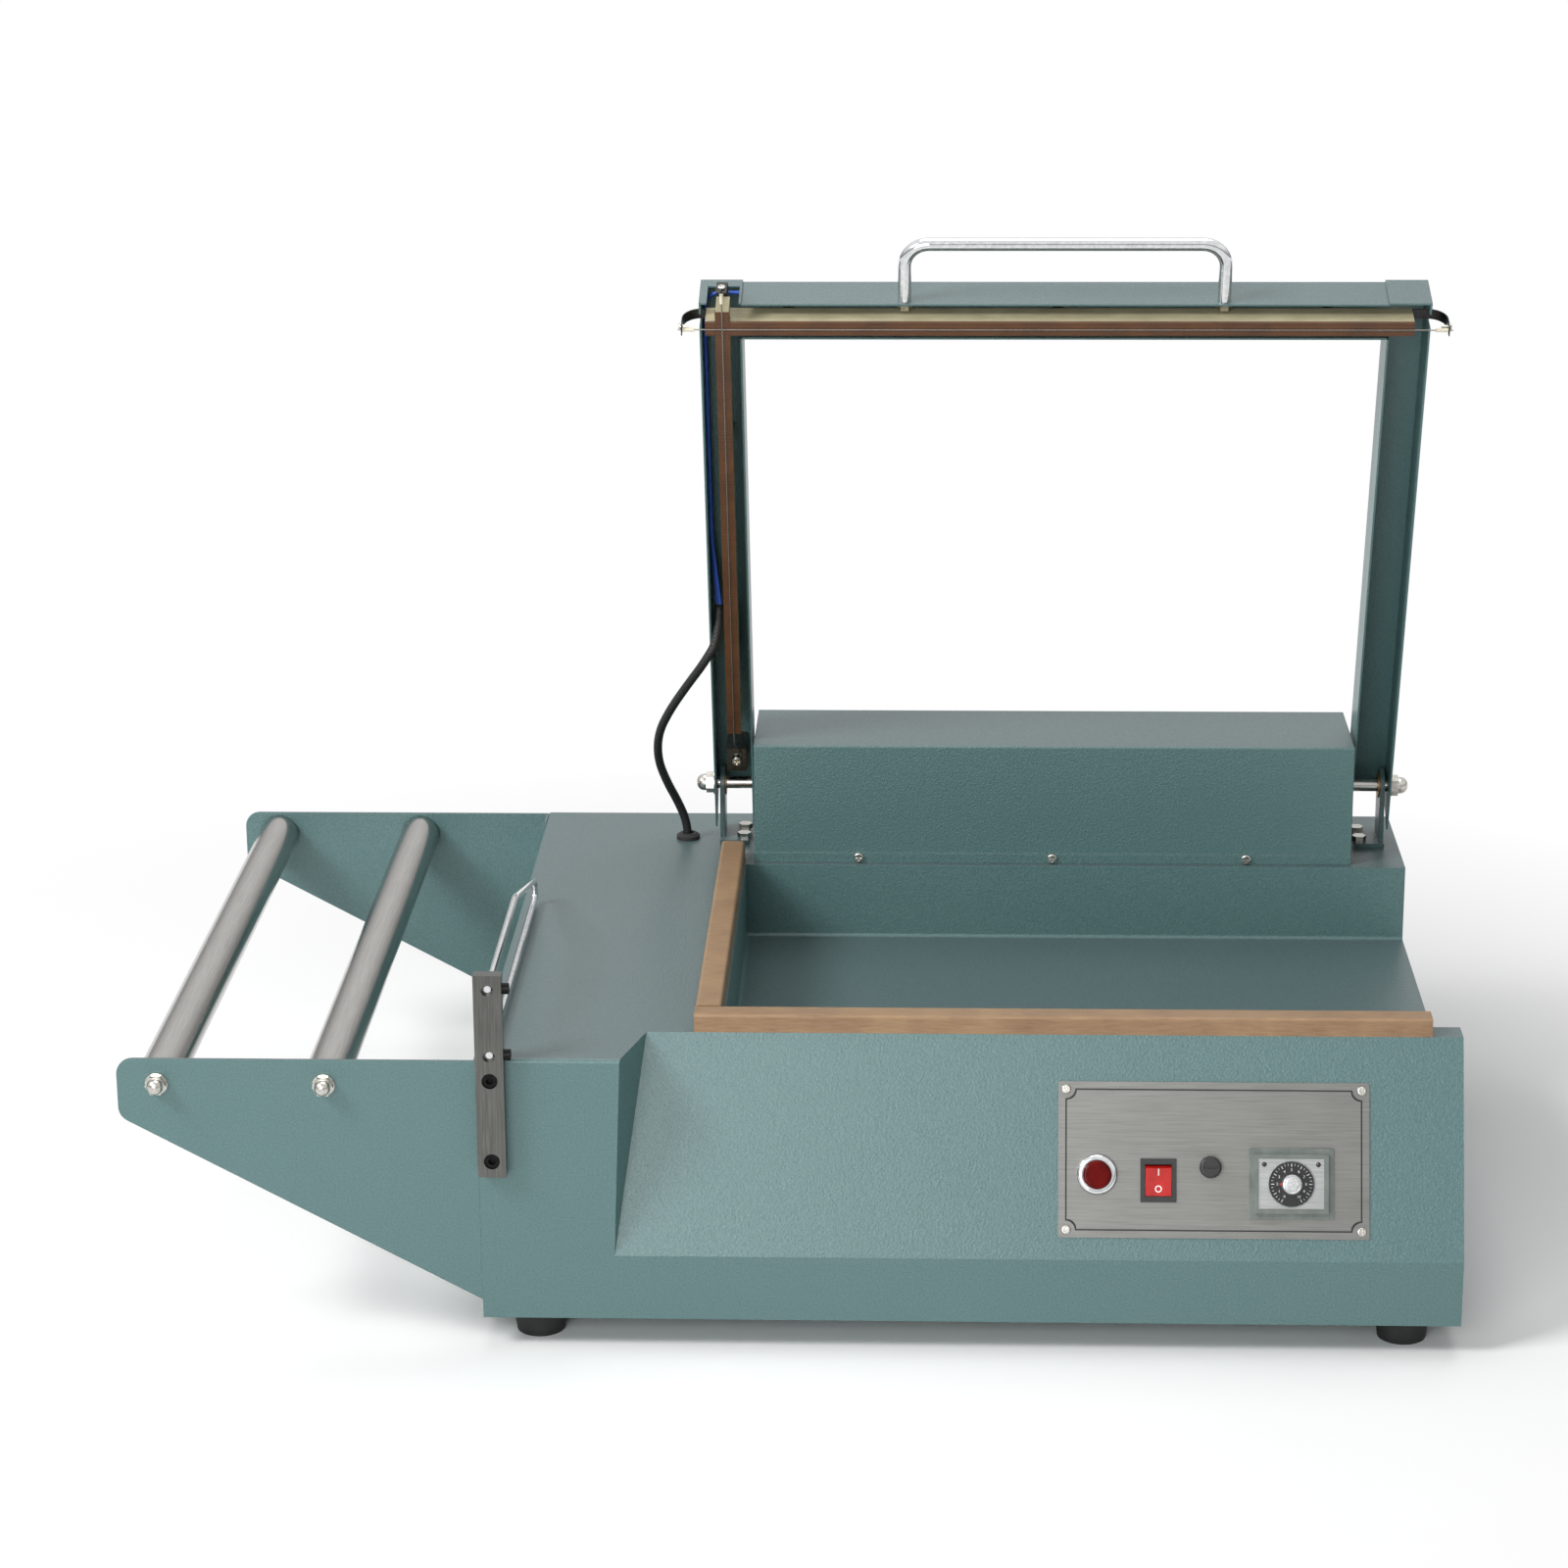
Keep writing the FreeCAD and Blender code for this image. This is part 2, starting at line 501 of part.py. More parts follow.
def number(formula):
    """Give the value of a formula in size and place names."""
    result = sheet.evalExpression(bound(formula))
    return float(getattr(result, "Value", result))


def settle(obj, what):
    """Recompute and stop where an object didn't build."""
    doc.recompute()
    if "Invalid" in obj.State or "Error" in obj.State:
        raise RuntimeError("%s did not build: %s" % (what, obj.State))


def keep(label, obj, frame="machine"):
    """Name a sub-part, stand it in the machine and list it for writing."""
    obj.Label = label
    base = {"machine": ("0", "0", "0"), "arm": ("0", "hinge_y", "hinge_z"),
            "panel": ("0", "0", "fold_z")}[frame]
    turn = {"machine": "0", "arm": "-open_angle", "panel": "90 deg - panel_lean"}[frame]
    obj.Placement = FreeCAD.Placement(V(0, 0, 0), FreeCAD.Rotation(V(1, 0, 0), number(turn)))
    if turn != "0":
        obj.setExpression("Placement.Rotation.Angle", bound(turn))
    obj.setExpression("Placement.Base.x", bound("%s - centre_x" % base[0]))
    obj.setExpression("Placement.Base.y", bound("%s - centre_y" % base[1]))
    obj.setExpression("Placement.Base.z", bound(base[2]))
    PIECES.append((label, obj))
    return obj


def box(x_low, y_low, x_high, y_high):
    """Give a rectangle's corners."""
    return [(x_low, y_low), (x_high, y_low), (x_high, y_high), (x_low, y_high)]


def hexagon(x, y, across):
    """Give a hexagon's corners from its width across flats."""
    corners = []
    for turn in range(0, 360, 60):
        corners.append(("%s + (%s) / 2 / cos(30) * cos(%d)" % (x, across, turn),
                        "%s + (%s) / 2 / cos(30) * sin(%d)" % (y, across, turn)))
    return corners


class Piece:
    """One sub-part, built feature by feature from sketches bound to the sheet."""

    def __init__(self, label):
        self.label = label
        self.body = doc.addObject("PartDesign::Body", label + "_body")

    def origin(self, role):
        """Find one of the body's own planes or axes."""
        return [item for item in self.body.Origin.OriginFeatures if item.Role == role][0]

    def sketch(self, plane, level, outlines=(), circles=()):
        """Draw closed outlines and circles on a plane at a level along its axis."""
        drawing = self.body.newObject("Sketcher::SketchObject", "sketch")
        role = "XZ_Plane" if plane == "slope" else plane
        drawing.AttachmentSupport = [(self.origin(role), "")]
        drawing.MapMode = "FlatFace"
        if plane == "slope":
            drawing.AttachmentOffset = FreeCAD.Placement(
                V(0, 0, 0), FreeCAD.Rotation(V(1, 0, 0), -number("panel_lean")))
            drawing.setExpression("AttachmentOffset.Rotation.Angle", bound("-panel_lean"))
            drawing.setExpression("AttachmentOffset.Base.y",
                                  bound("fold_z + (%s) * sin(panel_lean)" % level))
            drawing.setExpression("AttachmentOffset.Base.z",
                                  bound("(%s) * cos(panel_lean)" % level))
        else:
            side = "-1" if role == "XZ_Plane" else "1"
            drawing.setExpression("AttachmentOffset.Base.z", bound("%s * (%s)" % (side, level)))
        for corners in outlines:
            self.outline(drawing, corners)
        for x, y, radius in circles:
            self.circle(drawing, x, y, radius)
        return drawing

    def outline(self, drawing, corners):
        """Add one closed outline whose corners are all driven."""
        spots = [V(number(x), number(y), 0) for x, y in corners]
        first = drawing.GeometryCount
        count = len(spots)
        for i in range(count):
            drawing.addGeometry(Part.LineSegment(spots[i], spots[(i + 1) % count]), False)
        for i in range(count):
            after = first + (i + 1) % count
            drawing.addConstraint(Sketcher.Constraint("Coincident", first + i, 2, after, 1))
        for i, (x, y) in enumerate(corners):
            self.drive(drawing, "DistanceX", first + i, 1, spots[i].x, x)
            self.drive(drawing, "DistanceY", first + i, 1, spots[i].y, y)

    def circle(self, drawing, x, y, radius):
        """Add one circle whose centre and radius are driven."""
        centre = V(number(x), number(y), 0)
        item = drawing.addGeometry(Part.Circle(centre, V(0, 0, 1), number(radius)), False)
        self.drive(drawing, "DistanceX", item, 3, centre.x, x)
        self.drive(drawing, "DistanceY", item, 3, centre.y, y)
        index = drawing.addConstraint(Sketcher.Constraint("Radius", item, number(radius)))
        drawing.renameConstraint(index, "r%d" % index)
        drawing.setExpression("Constraints.r%d" % index, bound(radius))

    def drive(self, drawing, kind, item, end, value, formula):
        """Tie one point's distance from the sketch's origin to a formula."""
        index = drawing.addConstraint(Sketcher.Constraint(kind, -1, 1, item, end, value))
        drawing.renameConstraint(index, "d%d" % index)
        drawing.setExpression("Constraints.d%d" % index, bound(formula))

    def add(self, plane, level, length, outlines=(), circles=(), lean=None):
        """Add material from a level, towards larger values of the plane's axis."""
        pad = self.body.newObject("PartDesign::Pad", "pad")
        drawing = self.sketch(plane, level, outlines, circles)
        pad.Profile = drawing
        pad.Reversed = plane == "XZ_Plane" and lean is None
        if lean is not None:
            pad.UseCustomVector = True
            pad.AlongSketchNormal = False
            pad.Direction = V(number(lean), number("panel_setback"), 0)
            length = "sqrt((%s)^2 + panel_setback^2)" % lean
        pad.setExpression("Length", bound(length))
        self.body.Tip = pad
        settle(pad, self.label)
        return self

    def cut(self, plane, level, length, outlines=(), circles=(), lean=None):
        """Remove material from a level, towards larger values of the plane's axis."""
        before = self.body.Shape.Volume
        pocket = self.body.newObject("PartDesign::Pocket", "pocket")
        pocket.Profile = self.sketch(plane, level, outlines, circles)
        pocket.Reversed = plane != "XZ_Plane"
        if lean is not None:
            pocket.UseCustomVector = True
            pocket.AlongSketchNormal = False
            pocket.Direction = V(number(lean), number("panel_setback"), 0)
            length = "sqrt((%s)^2 + panel_setback^2)" % lean
        pocket.setExpression("Length", bound(length))
        self.body.Tip = pocket
        settle(pocket, self.label)
        if self.body.Shape.Volume > before - 1e-6:
            raise RuntimeError("a cut in %s removed nothing" % self.label)
        return self

    def turn(self, profile, axis="V_Axis"):
        """Revolve an outline in the XZ plane about an axis of its sketch."""
        feature = self.body.newObject("PartDesign::Revolution", "revolution")
        drawing = self.sketch("XZ_Plane", "0", [profile])
        feature.Profile = drawing
        feature.ReferenceAxis = (drawing, [axis])
        self.body.Tip = feature
        settle(feature, self.label)
        return self

    def edges(self, along, **at):
        """Find the straight edges along one axis whose middle lies at the given places."""
        names = []
        for i, edge in enumerate(self.body.Shape.Edges):
            if edge.Curve.TypeId != "Part::GeomLine":
                continue
            run = edge.Vertexes[-1].Point - edge.Vertexes[0].Point
            middle = edge.CenterOfMass
            if abs(getattr(run.normalize(), along)) < 0.999:
                continue
            if all(abs(getattr(middle, axis) - number(place)) < 0.02 for axis, place in at.items()):
                names.append("Edge%d" % (i + 1))
        if not names:
            raise RuntimeError("%s has no edge along %s at %s" % (self.label, along, at))
        return names

    def round(self, radius, names, kind="Fillet"):
        """Round or chamfer named edges of the last feature."""
        last = self.body.Tip
        feature = self.body.newObject("PartDesign::" + kind, kind.lower())
        feature.Base = (last, sorted(set(names)))
        feature.setExpression("Radius" if kind == "Fillet" else "Size", bound(radius))
        self.body.Tip = feature
        settle(feature, self.label)
        return self

    def row(self, axis, length, count):
        """Repeat the whole body so far along an axis."""
        feature = self.body.newObject("PartDesign::LinearPattern", "row")
        feature.Originals = [self.body.Tip]
        feature.Direction = (self.origin(axis), [""])
        feature.setExpression("Length", bound(length))
        feature.Occurrences = count
        self.body.Tip = feature
        settle(feature, self.label)
        return self

    def done(self, frame="machine"):
        """Finish the piece in one of the machine's frames."""
        return keep(self.label, self.body, frame)


def copies(label, frame, *groups):
    """Gather placed copies of master pieces as one sub-part of separate solids.

    Each group is a master and a list of (x, y, z, axis, angle) places."""
    links = []
    for master, places in groups:
        for x, y, z, axis, angle in places:
            link = doc.addObject("App::Link", label + "_copy")
            link.LinkedObject = master.body
            link.Placement = FreeCAD.Placement(V(0, 0, 0), FreeCAD.Rotation(V(*axis), number(angle)))
            link.setExpression("Placement.Base.x", bound(x))
            link.setExpression("Placement.Base.y", bound(y))
            link.setExpression("Placement.Base.z", bound(z))
            links.append(link)
    group = doc.addObject("Part::Compound", label + "_group")
    group.Links = links
    settle(group, label)
    return keep(label, group, frame)


def path(points, radii):
    """Make a wire of straight runs joined by tangent arcs."""
    edges = []
    start = points[0]
    for before, corner, after, radius in zip(points, points[1:], points[2:], radii):
        towards = (corner - before).normalize()
        away = (after - corner).normalize()
        half = towards.getAngle(away) / 2
        inset = radius * math.tan(half)
        enter = corner - towards * inset
        leave = corner + away * inset
        inward = (away - towards).normalize()
        middle = corner + inward * (radius / math.cos(half) - radius)
        edges.append(Part.LineSegment(start, enter).toShape())
        edges.append(Part.Arc(enter, middle, leave).toShape())
        start = leave
    edges.append(Part.LineSegment(start, points[-1]).toShape())
    return Part.Wire(edges)


def along_path(wire, profile):
    """Sweep a closed profile along a wire as a solid."""
    return wire.makePipeShell([profile], True, False, 1)


def rod(points, radii, size):
    """Make a round rod along a path, and check its volume against its length."""
    wire = path(points, radii)
    run = (points[1] - points[0]).normalize()
    circle = Part.Wire(Part.makeCircle(size / 2, points[0], run))
    solid = along_path(wire, circle)
    expected = math.pi * size * size / 4 * wire.Length
    if abs(solid.Volume - expected) > 0.01 * expected:
        raise RuntimeError("a rod came out with the wrong volume")
    return solid


def panels(piece, *blocks):
    """Keep a shell as the panels that it is welded from, which meet face to face.

    Each block is the plan of one panel, as (x_low, y_low, x_high, y_high)."""
    parts = []
    for x_low, y_low, x_high, y_high in blocks:
        block = doc.addObject("Part::Box", piece.label + "_block")
        block.setExpression("Placement.Base.x", bound(x_low))
        block.setExpression("Placement.Base.y", bound(y_low))
        block.setExpression("Length", bound("%s - (%s)" % (x_high, x_low)))
        block.setExpression("Width", bound("%s - (%s)" % (y_high, y_low)))
        block.setExpression("Height", bound("2 * table_z"))
        part = doc.addObject("Part::Common", piece.label + "_panel")
        part.Base = block
        part.Tool = piece.body
        parts.append(part)
    group = doc.addObject("Part::Compound", piece.label + "_group")
    group.Links = parts
    settle(group, piece.label)
    return keep(piece.label, group)


def feature(label, shape, frame="machine"):
    """Keep a shape that no sketch fits as a sub-part."""
    item = doc.addObject("Part::Feature", label + "_shape")
    item.Shape = shape
    return keep(label, item, frame)


def cord_radii(points):
    """Give each inner point of a cord's route the largest arc its runs allow."""
    radii = []
    for before, corner, after in zip(points, points[1:], points[2:]):
        half = (corner - before).getAngle(after - corner) / 2
        run = min((corner - before).Length, (after - corner).Length)
        radii.append(0.45 * run / math.tan(half))
    return radii


def cross(arm, half):
    """Give the corners of a cross recess from its half length and half width."""
    return [(half, half), (half, arm), ("-" + half, arm), ("-" + half, half), ("-" + arm, half),
            ("-" + arm, "-" + half), ("-" + half, "-" + half), ("-" + half, "-" + arm),
            (half, "-" + arm), (half, "-" + half), (arm, "-" + half), (arm, half)]


def rim_at(piece, level):
    """Find a piece's edges that lie flat at a level."""
    return ["Edge%d" % (i + 1) for i, edge in enumerate(piece.body.Shape.Edges)
            if edge.BoundBox.ZLength < 0.01 and abs(edge.CenterOfMass.z - number(level)) < 0.01]


# Fastener masters: each has its seat at Z 0, its head above and its shank below
def screw(name, shank, head, head_height, length, kind="pan"):
    """Make a screw with a domed cross, socket or hexagon head."""
    piece = Piece(name)
    piece.add("XY_Plane", "-(%s)" % length, length, circles=[("0", "0", "(%s) / 2" % shank)])
    if kind == "hex":
        return piece.add("XY_Plane", "0", head_height, [hexagon("0", "0", head)])
    piece.add("XY_Plane", "0", head_height, circles=[("0", "0", "(%s) / 2" % head)])
    if kind == "socket":
        return piece.cut("XY_Plane", "(%s) / 2" % head_height, head_height,
                         [hexagon("0", "0", "(%s) / 2" % head)])
    piece.round("(%s) / 2.2" % head_height, rim_at(piece, head_height))
    return piece.cut("XY_Plane", "(%s) * 0.55" % head_height, head_height,
                     [cross("((%s) * 0.3)" % head, "((%s) * 0.06)" % head)])


def acorn_nut(name, across, hex_height, dome_height, bore, washer):
    """Make a domed nut on its washer, with the washer's seat at Z 0 and a blind bore."""
    piece = Piece(name)
    dome_seat = "washer_thick + %s" % hex_height
    piece.add("XY_Plane", "0", "washer_thick", circles=[("0", "0", "%s / 2" % washer)])
    piece.add("XY_Plane", "washer_thick", hex_height, [hexagon("0", "0", across)])
    piece.add("XY_Plane", dome_seat, dome_height, circles=[("0", "0", "%s * 0.45" % across)])
    crown = rim_at(piece, "%s + %s" % (dome_seat, dome_height))
    piece.round("%s * 0.4" % across, crown)
    return piece.cut("XY_Plane", "0", "%s + %s * 0.5" % (dome_seat, dome_height),
                     circles=[("0", "0", "%s / 2" % bore)])


# Which way a fastener's head points, as a turn of its Z axis
UP = ((1, 0, 0), "0")
DOWN = ((1, 0, 0), "180")
FRONT = ((1, 0, 0), "90")
BACK = ((1, 0, 0), "-90")
RIGHT = ((0, 1, 0), "90")
LEFT = ((0, 1, 0), "-90")


def at(x, y, z, way=UP):
    """Give a place for a copy with its head pointing one way."""
    return (x, y, z, way[0], way[1])


# Places that several pieces share
FEET = [(x, y) for x in ("foot_inset_x", "casing_width - foot_inset_x")
        for y in ("foot_inset_y", "casing_depth - foot_inset_y")]
BRACKETS = [("left", "bracket_left", 1), ("right", "bracket_right", -1)]
COVER_SCREWS = ["cover_left + cover_screw_inset", "(cover_left + cover_right) / 2",
                "cover_right - cover_screw_inset"]
PLATE_SCREWS = [("plate_left + " + x, "plate_low + " + y)
                for x in ("plate_screw_inset", "plate_width - plate_screw_inset")
                for y in ("plate_screw_inset", "plate_height - plate_screw_inset")]
ROLLERS = [("outer", "-outer_roller_x"), ("inner", "-inner_roller_x")]
CRADLE_BOLTS = ["foot_height + cradle_tail + cradle_bolt_inset", "cradle_top - cradle_bolt_inset"]
BAR_BOLTS = ["guide_top - bar_bolt_drop", "guide_top - bar_bolt_drop - bar_bolt_pitch"]
GUIDE_RODS = ["rod_top_z", "rod_low_z"]
FRONT_POSTS = ["front_board_left + post_inset", "(front_board_left + front_board_right) / 2",
               "front_board_right - post_inset"]
SIDE_POSTS = [("left_board_x", "-left_board_start - post_inset"),
              ("left_board_x", "-left_board_end + 2 * post_inset")]
HANDLE_LEGS = ["arm_middle - handle_spacing / 2", "arm_middle + handle_spacing / 2"]


def bolt_x(plate, side):
    """Give the X place of a bracket's bolts, to the inner side of its plate."""
    return "%s + bracket_plate / 2 + %d * bolt_offset" % (plate, side)


# Casing
def make_casing():
    """Fold the casing's shell, with its sunk front panel, tray opening and holes."""
    piece = Piece("body_casing")
    piece.add("YZ_Plane", "0", "casing_width",
              [[("0", "foot_height"), ("casing_depth", "foot_height"), ("casing_depth", "table_z"),
                ("panel_setback", "table_z"), ("0", "fold_z")]])
    piece.add("XZ_Plane", "0", "panel_setback", [box("0", "fold_z", "cheek_width / 2", "table_z")])
    piece.add("XZ_Plane", "0", "", lean="cheek_lean",
              outlines=[[("cheek_width / 4", "fold_z"), ("cheek_width", "fold_z"),
                         ("cheek_top_width", "table_z"), ("cheek_width / 4", "table_z")]])
    piece.round("bend_radius", piece.edges("x", z="table_z", y="0")
                + piece.edges("x", z="table_z", y="casing_depth")
                + piece.edges("y", z="table_z", x="0"))
    ceiling = "table_z - sheet_wall"
    slope_inner = "sheet_wall / cos(panel_lean)"
    piece.cut("YZ_Plane", "sheet_wall", "casing_width - 2 * sheet_wall",
              [[("sheet_wall", "foot_height"), ("casing_depth - sheet_wall", "foot_height"),
                ("casing_depth - sheet_wall", ceiling),
                ("panel_setback - sheet_wall * tan(panel_lean) + " + slope_inner, ceiling),
                ("sheet_wall", "fold_z - (%s - sheet_wall) / tan(panel_lean)" % slope_inner)]])
    cheek_low = "fold_z + sheet_wall"
    piece.cut("XZ_Plane", "sheet_wall", "panel_setback",
              [box("sheet_wall", cheek_low, "cheek_width / 2", ceiling)])
    piece.cut("XZ_Plane", "sheet_wall", "", lean="cheek_lean",
              outlines=[[("cheek_width / 3", cheek_low), ("cheek_width - 2 * sheet_wall", cheek_low),
                         ("cheek_top_width - 2 * sheet_wall", ceiling),
                         ("cheek_width / 3", ceiling)]])
    piece.cut("XY_Plane", "tray_floor - tray_sheet", "tray_depth + 2 * tray_sheet",
              [box("tray_left - tray_sheet", "tray_front - tray_sheet", "casing_width + tray_sheet",
                   "tray_back + tray_sheet")])
    deck_holes = [("grommet_x", "grommet_y", "grommet_neck / 2")]
    for name, plate, side in BRACKETS:
        for shift in ("-bolt_pitch / 2", "bolt_pitch / 2"):
            deck_holes.append((bolt_x(plate, side), "hinge_y + " + shift,
                               "bracket_bolt_size / 2 + thread_gap"))
    piece.cut("XY_Plane", "table_z - 2 * sheet_wall", "3 * sheet_wall", circles=deck_holes)
    piece.cut("slope", "-3 * sheet_wall", "4 * sheet_wall", circles=[
        ("button_x", "button_up", "button_barrel / 2 + panel_gap"),
        ("fuse_x", "fuse_up", "fuse_body / 2 + panel_gap")]
        + [(x, y, "plate_screw_size / 2 + thread_gap") for x, y in PLATE_SCREWS])
    piece.cut("slope", "-3 * sheet_wall", "4 * sheet_wall", [
        centred("rocker_x", "rocker_up", "rocker_body_width + 2 * panel_gap",
                "rocker_body_height + 2 * panel_gap"),
        centred("timer_x", "timer_up", "timer_window_width + 2 * panel_gap",
                "timer_window_height + 2 * panel_gap")])
    side_holes = []
    for z in CRADLE_BOLTS:
        for y in ("cradle_flange / 2", "casing_depth - cradle_flange / 2"):
            side_holes.append((y, z, "cradle_bolt_size / 2 + thread_gap"))
    piece.cut("YZ_Plane", "-sheet_wall", "3 * sheet_wall", circles=side_holes)
    piece.cut("XZ_Plane", "-sheet_wall", "3 * sheet_wall",
              circles=[("guide_bar_x + guide_bar_width / 2", z, "guide_screw_size / 2 + thread_gap")
                       for z in BAR_BOLTS])
    piece.cut("XZ_Plane", "casing_depth - 2 * sheet_wall", "3 * sheet_wall",
              circles=[("gland_x", "foot_height + gland_rise", "gland_bore / 2 + sheet_wall")])
    tray_edge = "tray_left - tray_sheet"
    front_edge = "tray_front - tray_sheet"
    back_edge = "tray_back + tray_sheet"
    return panels(piece, ("0", "0", "end_panel", "casing_depth"),
                  ("end_panel", "0", tray_edge, "casing_depth"),
                  (tray_edge, "0", "casing_width", front_edge),
                  (tray_edge, back_edge, "casing_width", "casing_depth"),
                  ("casing_width - 2 * sheet_wall", front_edge, "casing_width", back_edge))


def centred(x, y, width, height):
    """Give a rectangle's corners from its middle and its sizes."""
    return box("%s - (%s) / 2" % (x, width), "%s - (%s) / 2" % (y, height),
               "%s + (%s) / 2" % (x, width), "%s + (%s) / 2" % (y, height))


def make_tray():
    """Fold the goods tray, open at the top and to the right."""
    piece = Piece("goods_tray")
    piece.add("XY_Plane", "tray_floor - tray_sheet", "tray_depth + tray_sheet",
              [box("tray_left - tray_sheet", "tray_front - tray_sheet", "casing_width",
                   "tray_back + tray_sheet")])
    piece.cut("XY_Plane", "tray_floor", "tray_depth + tray_sheet",
              [box("tray_left", "tray_front", "casing_width + tray_sheet", "tray_back")])
    piece.round("tray_bend", piece.edges("x", z="tray_floor", y="tray_front")
                + piece.edges("x", z="tray_floor", y="tray_back")
                + piece.edges("y", z="tray_floor", x="tray_left"))
    return piece.done()


def make_bottom():
    """Press the bottom pan and stand the casing on four rubber feet."""
    piece = Piece("bottom_pan")
    depth_back = "casing_depth - sheet_wall"
    piece.add("XY_Plane", "foot_height", "sheet_wall",
              [box("sheet_wall", "sheet_wall", "casing_width - sheet_wall", depth_back)])
    piece.add("XZ_Plane", "pan_margin", "casing_depth - 2 * pan_margin",
              [[("pan_left", "foot_height"), ("pan_left + pan_drop", "foot_height - pan_drop"),
                ("pan_right - pan_drop", "foot_height - pan_drop"), ("pan_right", "foot_height")]])
    piece.cut("XY_Plane", "foot_height - pan_drop + sheet_wall", "pan_drop + sheet_wall",
              [box("pan_left + 2 * pan_drop", "pan_margin + sheet_wall", "pan_right - 2 * pan_drop",
                   "casing_depth - pan_margin - sheet_wall")])
    piece.cut("XY_Plane", "foot_height - sheet_wall", "4 * sheet_wall",
              circles=[(x, y, "foot_screw_size / 2 + thread_gap") for x, y in FEET])
    piece.done()

    foot = Piece("foot_master")
    foot.turn([("foot_screw_size / 2 + thread_gap", "foot_well_depth"),
               ("foot_well / 2", "foot_well_depth"), ("foot_well / 2", "0"), ("foot_bottom / 2", "0"), ("foot_top / 2", "foot_height"),
               ("foot_screw_size / 2 + thread_gap", "foot_height")])
    copies("rubber_feet", "machine", (foot, [at(x, y, "0") for x, y in FEET]))
    bolt = screw("foot_screw_master", "foot_screw_size", "foot_screw_head", "foot_screw_size / 2",
                 "foot_screw_length")
    copies("foot_screws", "machine",
           (bolt, [at(x, y, "foot_well_depth", DOWN) for x, y in FEET]))


def make_pads():
    """Lay the two sealing pads along the tray's front and left edges."""
    front = Piece("seal_pad_front")
    front.add("XY_Plane", "table_z", "pad_height",
              [box("pad_left", "panel_setback", "pad_front_end", "panel_setback + pad_width")])
    top = "table_z + pad_height"
    front.round("pad_round", front.edges("x", z=top, y="panel_setback")
                + front.edges("x", z=top, y="panel_setback + pad_width"))
    front.done()
    left = Piece("seal_pad_left")
    left.add("XY_Plane", "table_z", "pad_height",
             [box("pad_left", "panel_setback + pad_width", "pad_left + pad_width", "pad_back_end")])
    left.round("pad_round", left.edges("y", z=top, x="pad_left")
               + left.edges("y", z=top, x="pad_left + pad_width"))
    left.done()


# Rear cover
def make_cover():
    """Fold the cover over the hinge shaft, with its rails and screws."""
    piece = Piece("rear_cover")
    top = "table_z + cover_height"
    piece.add("XY_Plane", "table_z", "cover_height",
              [box("cover_left", "cover_front", "cover_right", "cover_back")])
    piece.round("bend_radius / 2", piece.edges("x", z=top, y="cover_front")
                + piece.edges("x", z=top, y="cover_back"))
    for level in ("cover_front - cover_hem_thick", "cover_back"):
        piece.add("XZ_Plane", level, "cover_hem_thick",
                  [box("cover_left", "table_z", "cover_right", "table_z + cover_hem")])
    piece.cut("XY_Plane", "table_z", "cover_height - sheet_wall",
              [box("cover_left + sheet_wall", "cover_front + sheet_wall",
                   "cover_right - sheet_wall", "cover_back - sheet_wall")])
    piece.cut("YZ_Plane", "cover_left - sheet_wall", "cover_right - cover_left + 2 * sheet_wall",
              circles=[("hinge_y", "hinge_z", "cover_shaft_hole / 2")])
    screw_z = "table_z + cover_screw_height"
    holes = [(x, screw_z, "cover_screw_size / 2 + thread_gap") for x in COVER_SCREWS]
    piece.cut("XZ_Plane", "cover_front - 2 * cover_hem_thick",
              "cover_back - cover_front + 4 * cover_hem_thick", circles=holes)
    piece.done()

    rails = []
    for side, face, inward in (("front", "cover_front + sheet_wall", 1), ("rear", "rail_back", -1)):
        rail = Piece("cover_rail_" + side)
        low = {1: face, -1: face + " - rail_foot"}[inward]
        wall = {1: face, -1: face + " - sheet_wall"}[inward]
        left = "cover_left + rail_inset"
        right = "cover_right - rail_inset"
        rail.add("XY_Plane", "table_z", "sheet_wall", [box(left, low, right, low + " + rail_foot")])
        rail.add("XY_Plane", "table_z", "rail_height",
                 [box(left, wall, right, wall + " + sheet_wall")])
        if side == "rear":
            for lever in ("lever_left", "lever_right"):
                rail.add("XY_Plane", "table_z", "lug_height",
                         [centred(lever, "lug_y", "lug_thick", "lug_height")])
                rail.cut("YZ_Plane", lever + " - lug_thick", "2 * lug_thick",
                         circles=[("lug_y", "lug_z", "spring_wire * 0.9")])
        rail.cut("XZ_Plane", wall + " - sheet_wall", "3 * sheet_wall", circles=holes)
        rails.append((rail, [at("0", "0", "0")]))
    copies("cover_rails", "machine", *rails)
    master = screw("cover_screw_master", "cover_screw_size", "2 * cover_screw_size",
                   "cover_screw_size * 0.6", "3 * cover_screw_size")
    copies("cover_screws", "machine", (master, [
        at(x, "cover_front - cover_hem_thick", screw_z, FRONT) for x in COVER_SCREWS] + [
        at(x, "cover_back + cover_hem_thick", screw_z, BACK) for x in COVER_SCREWS]))


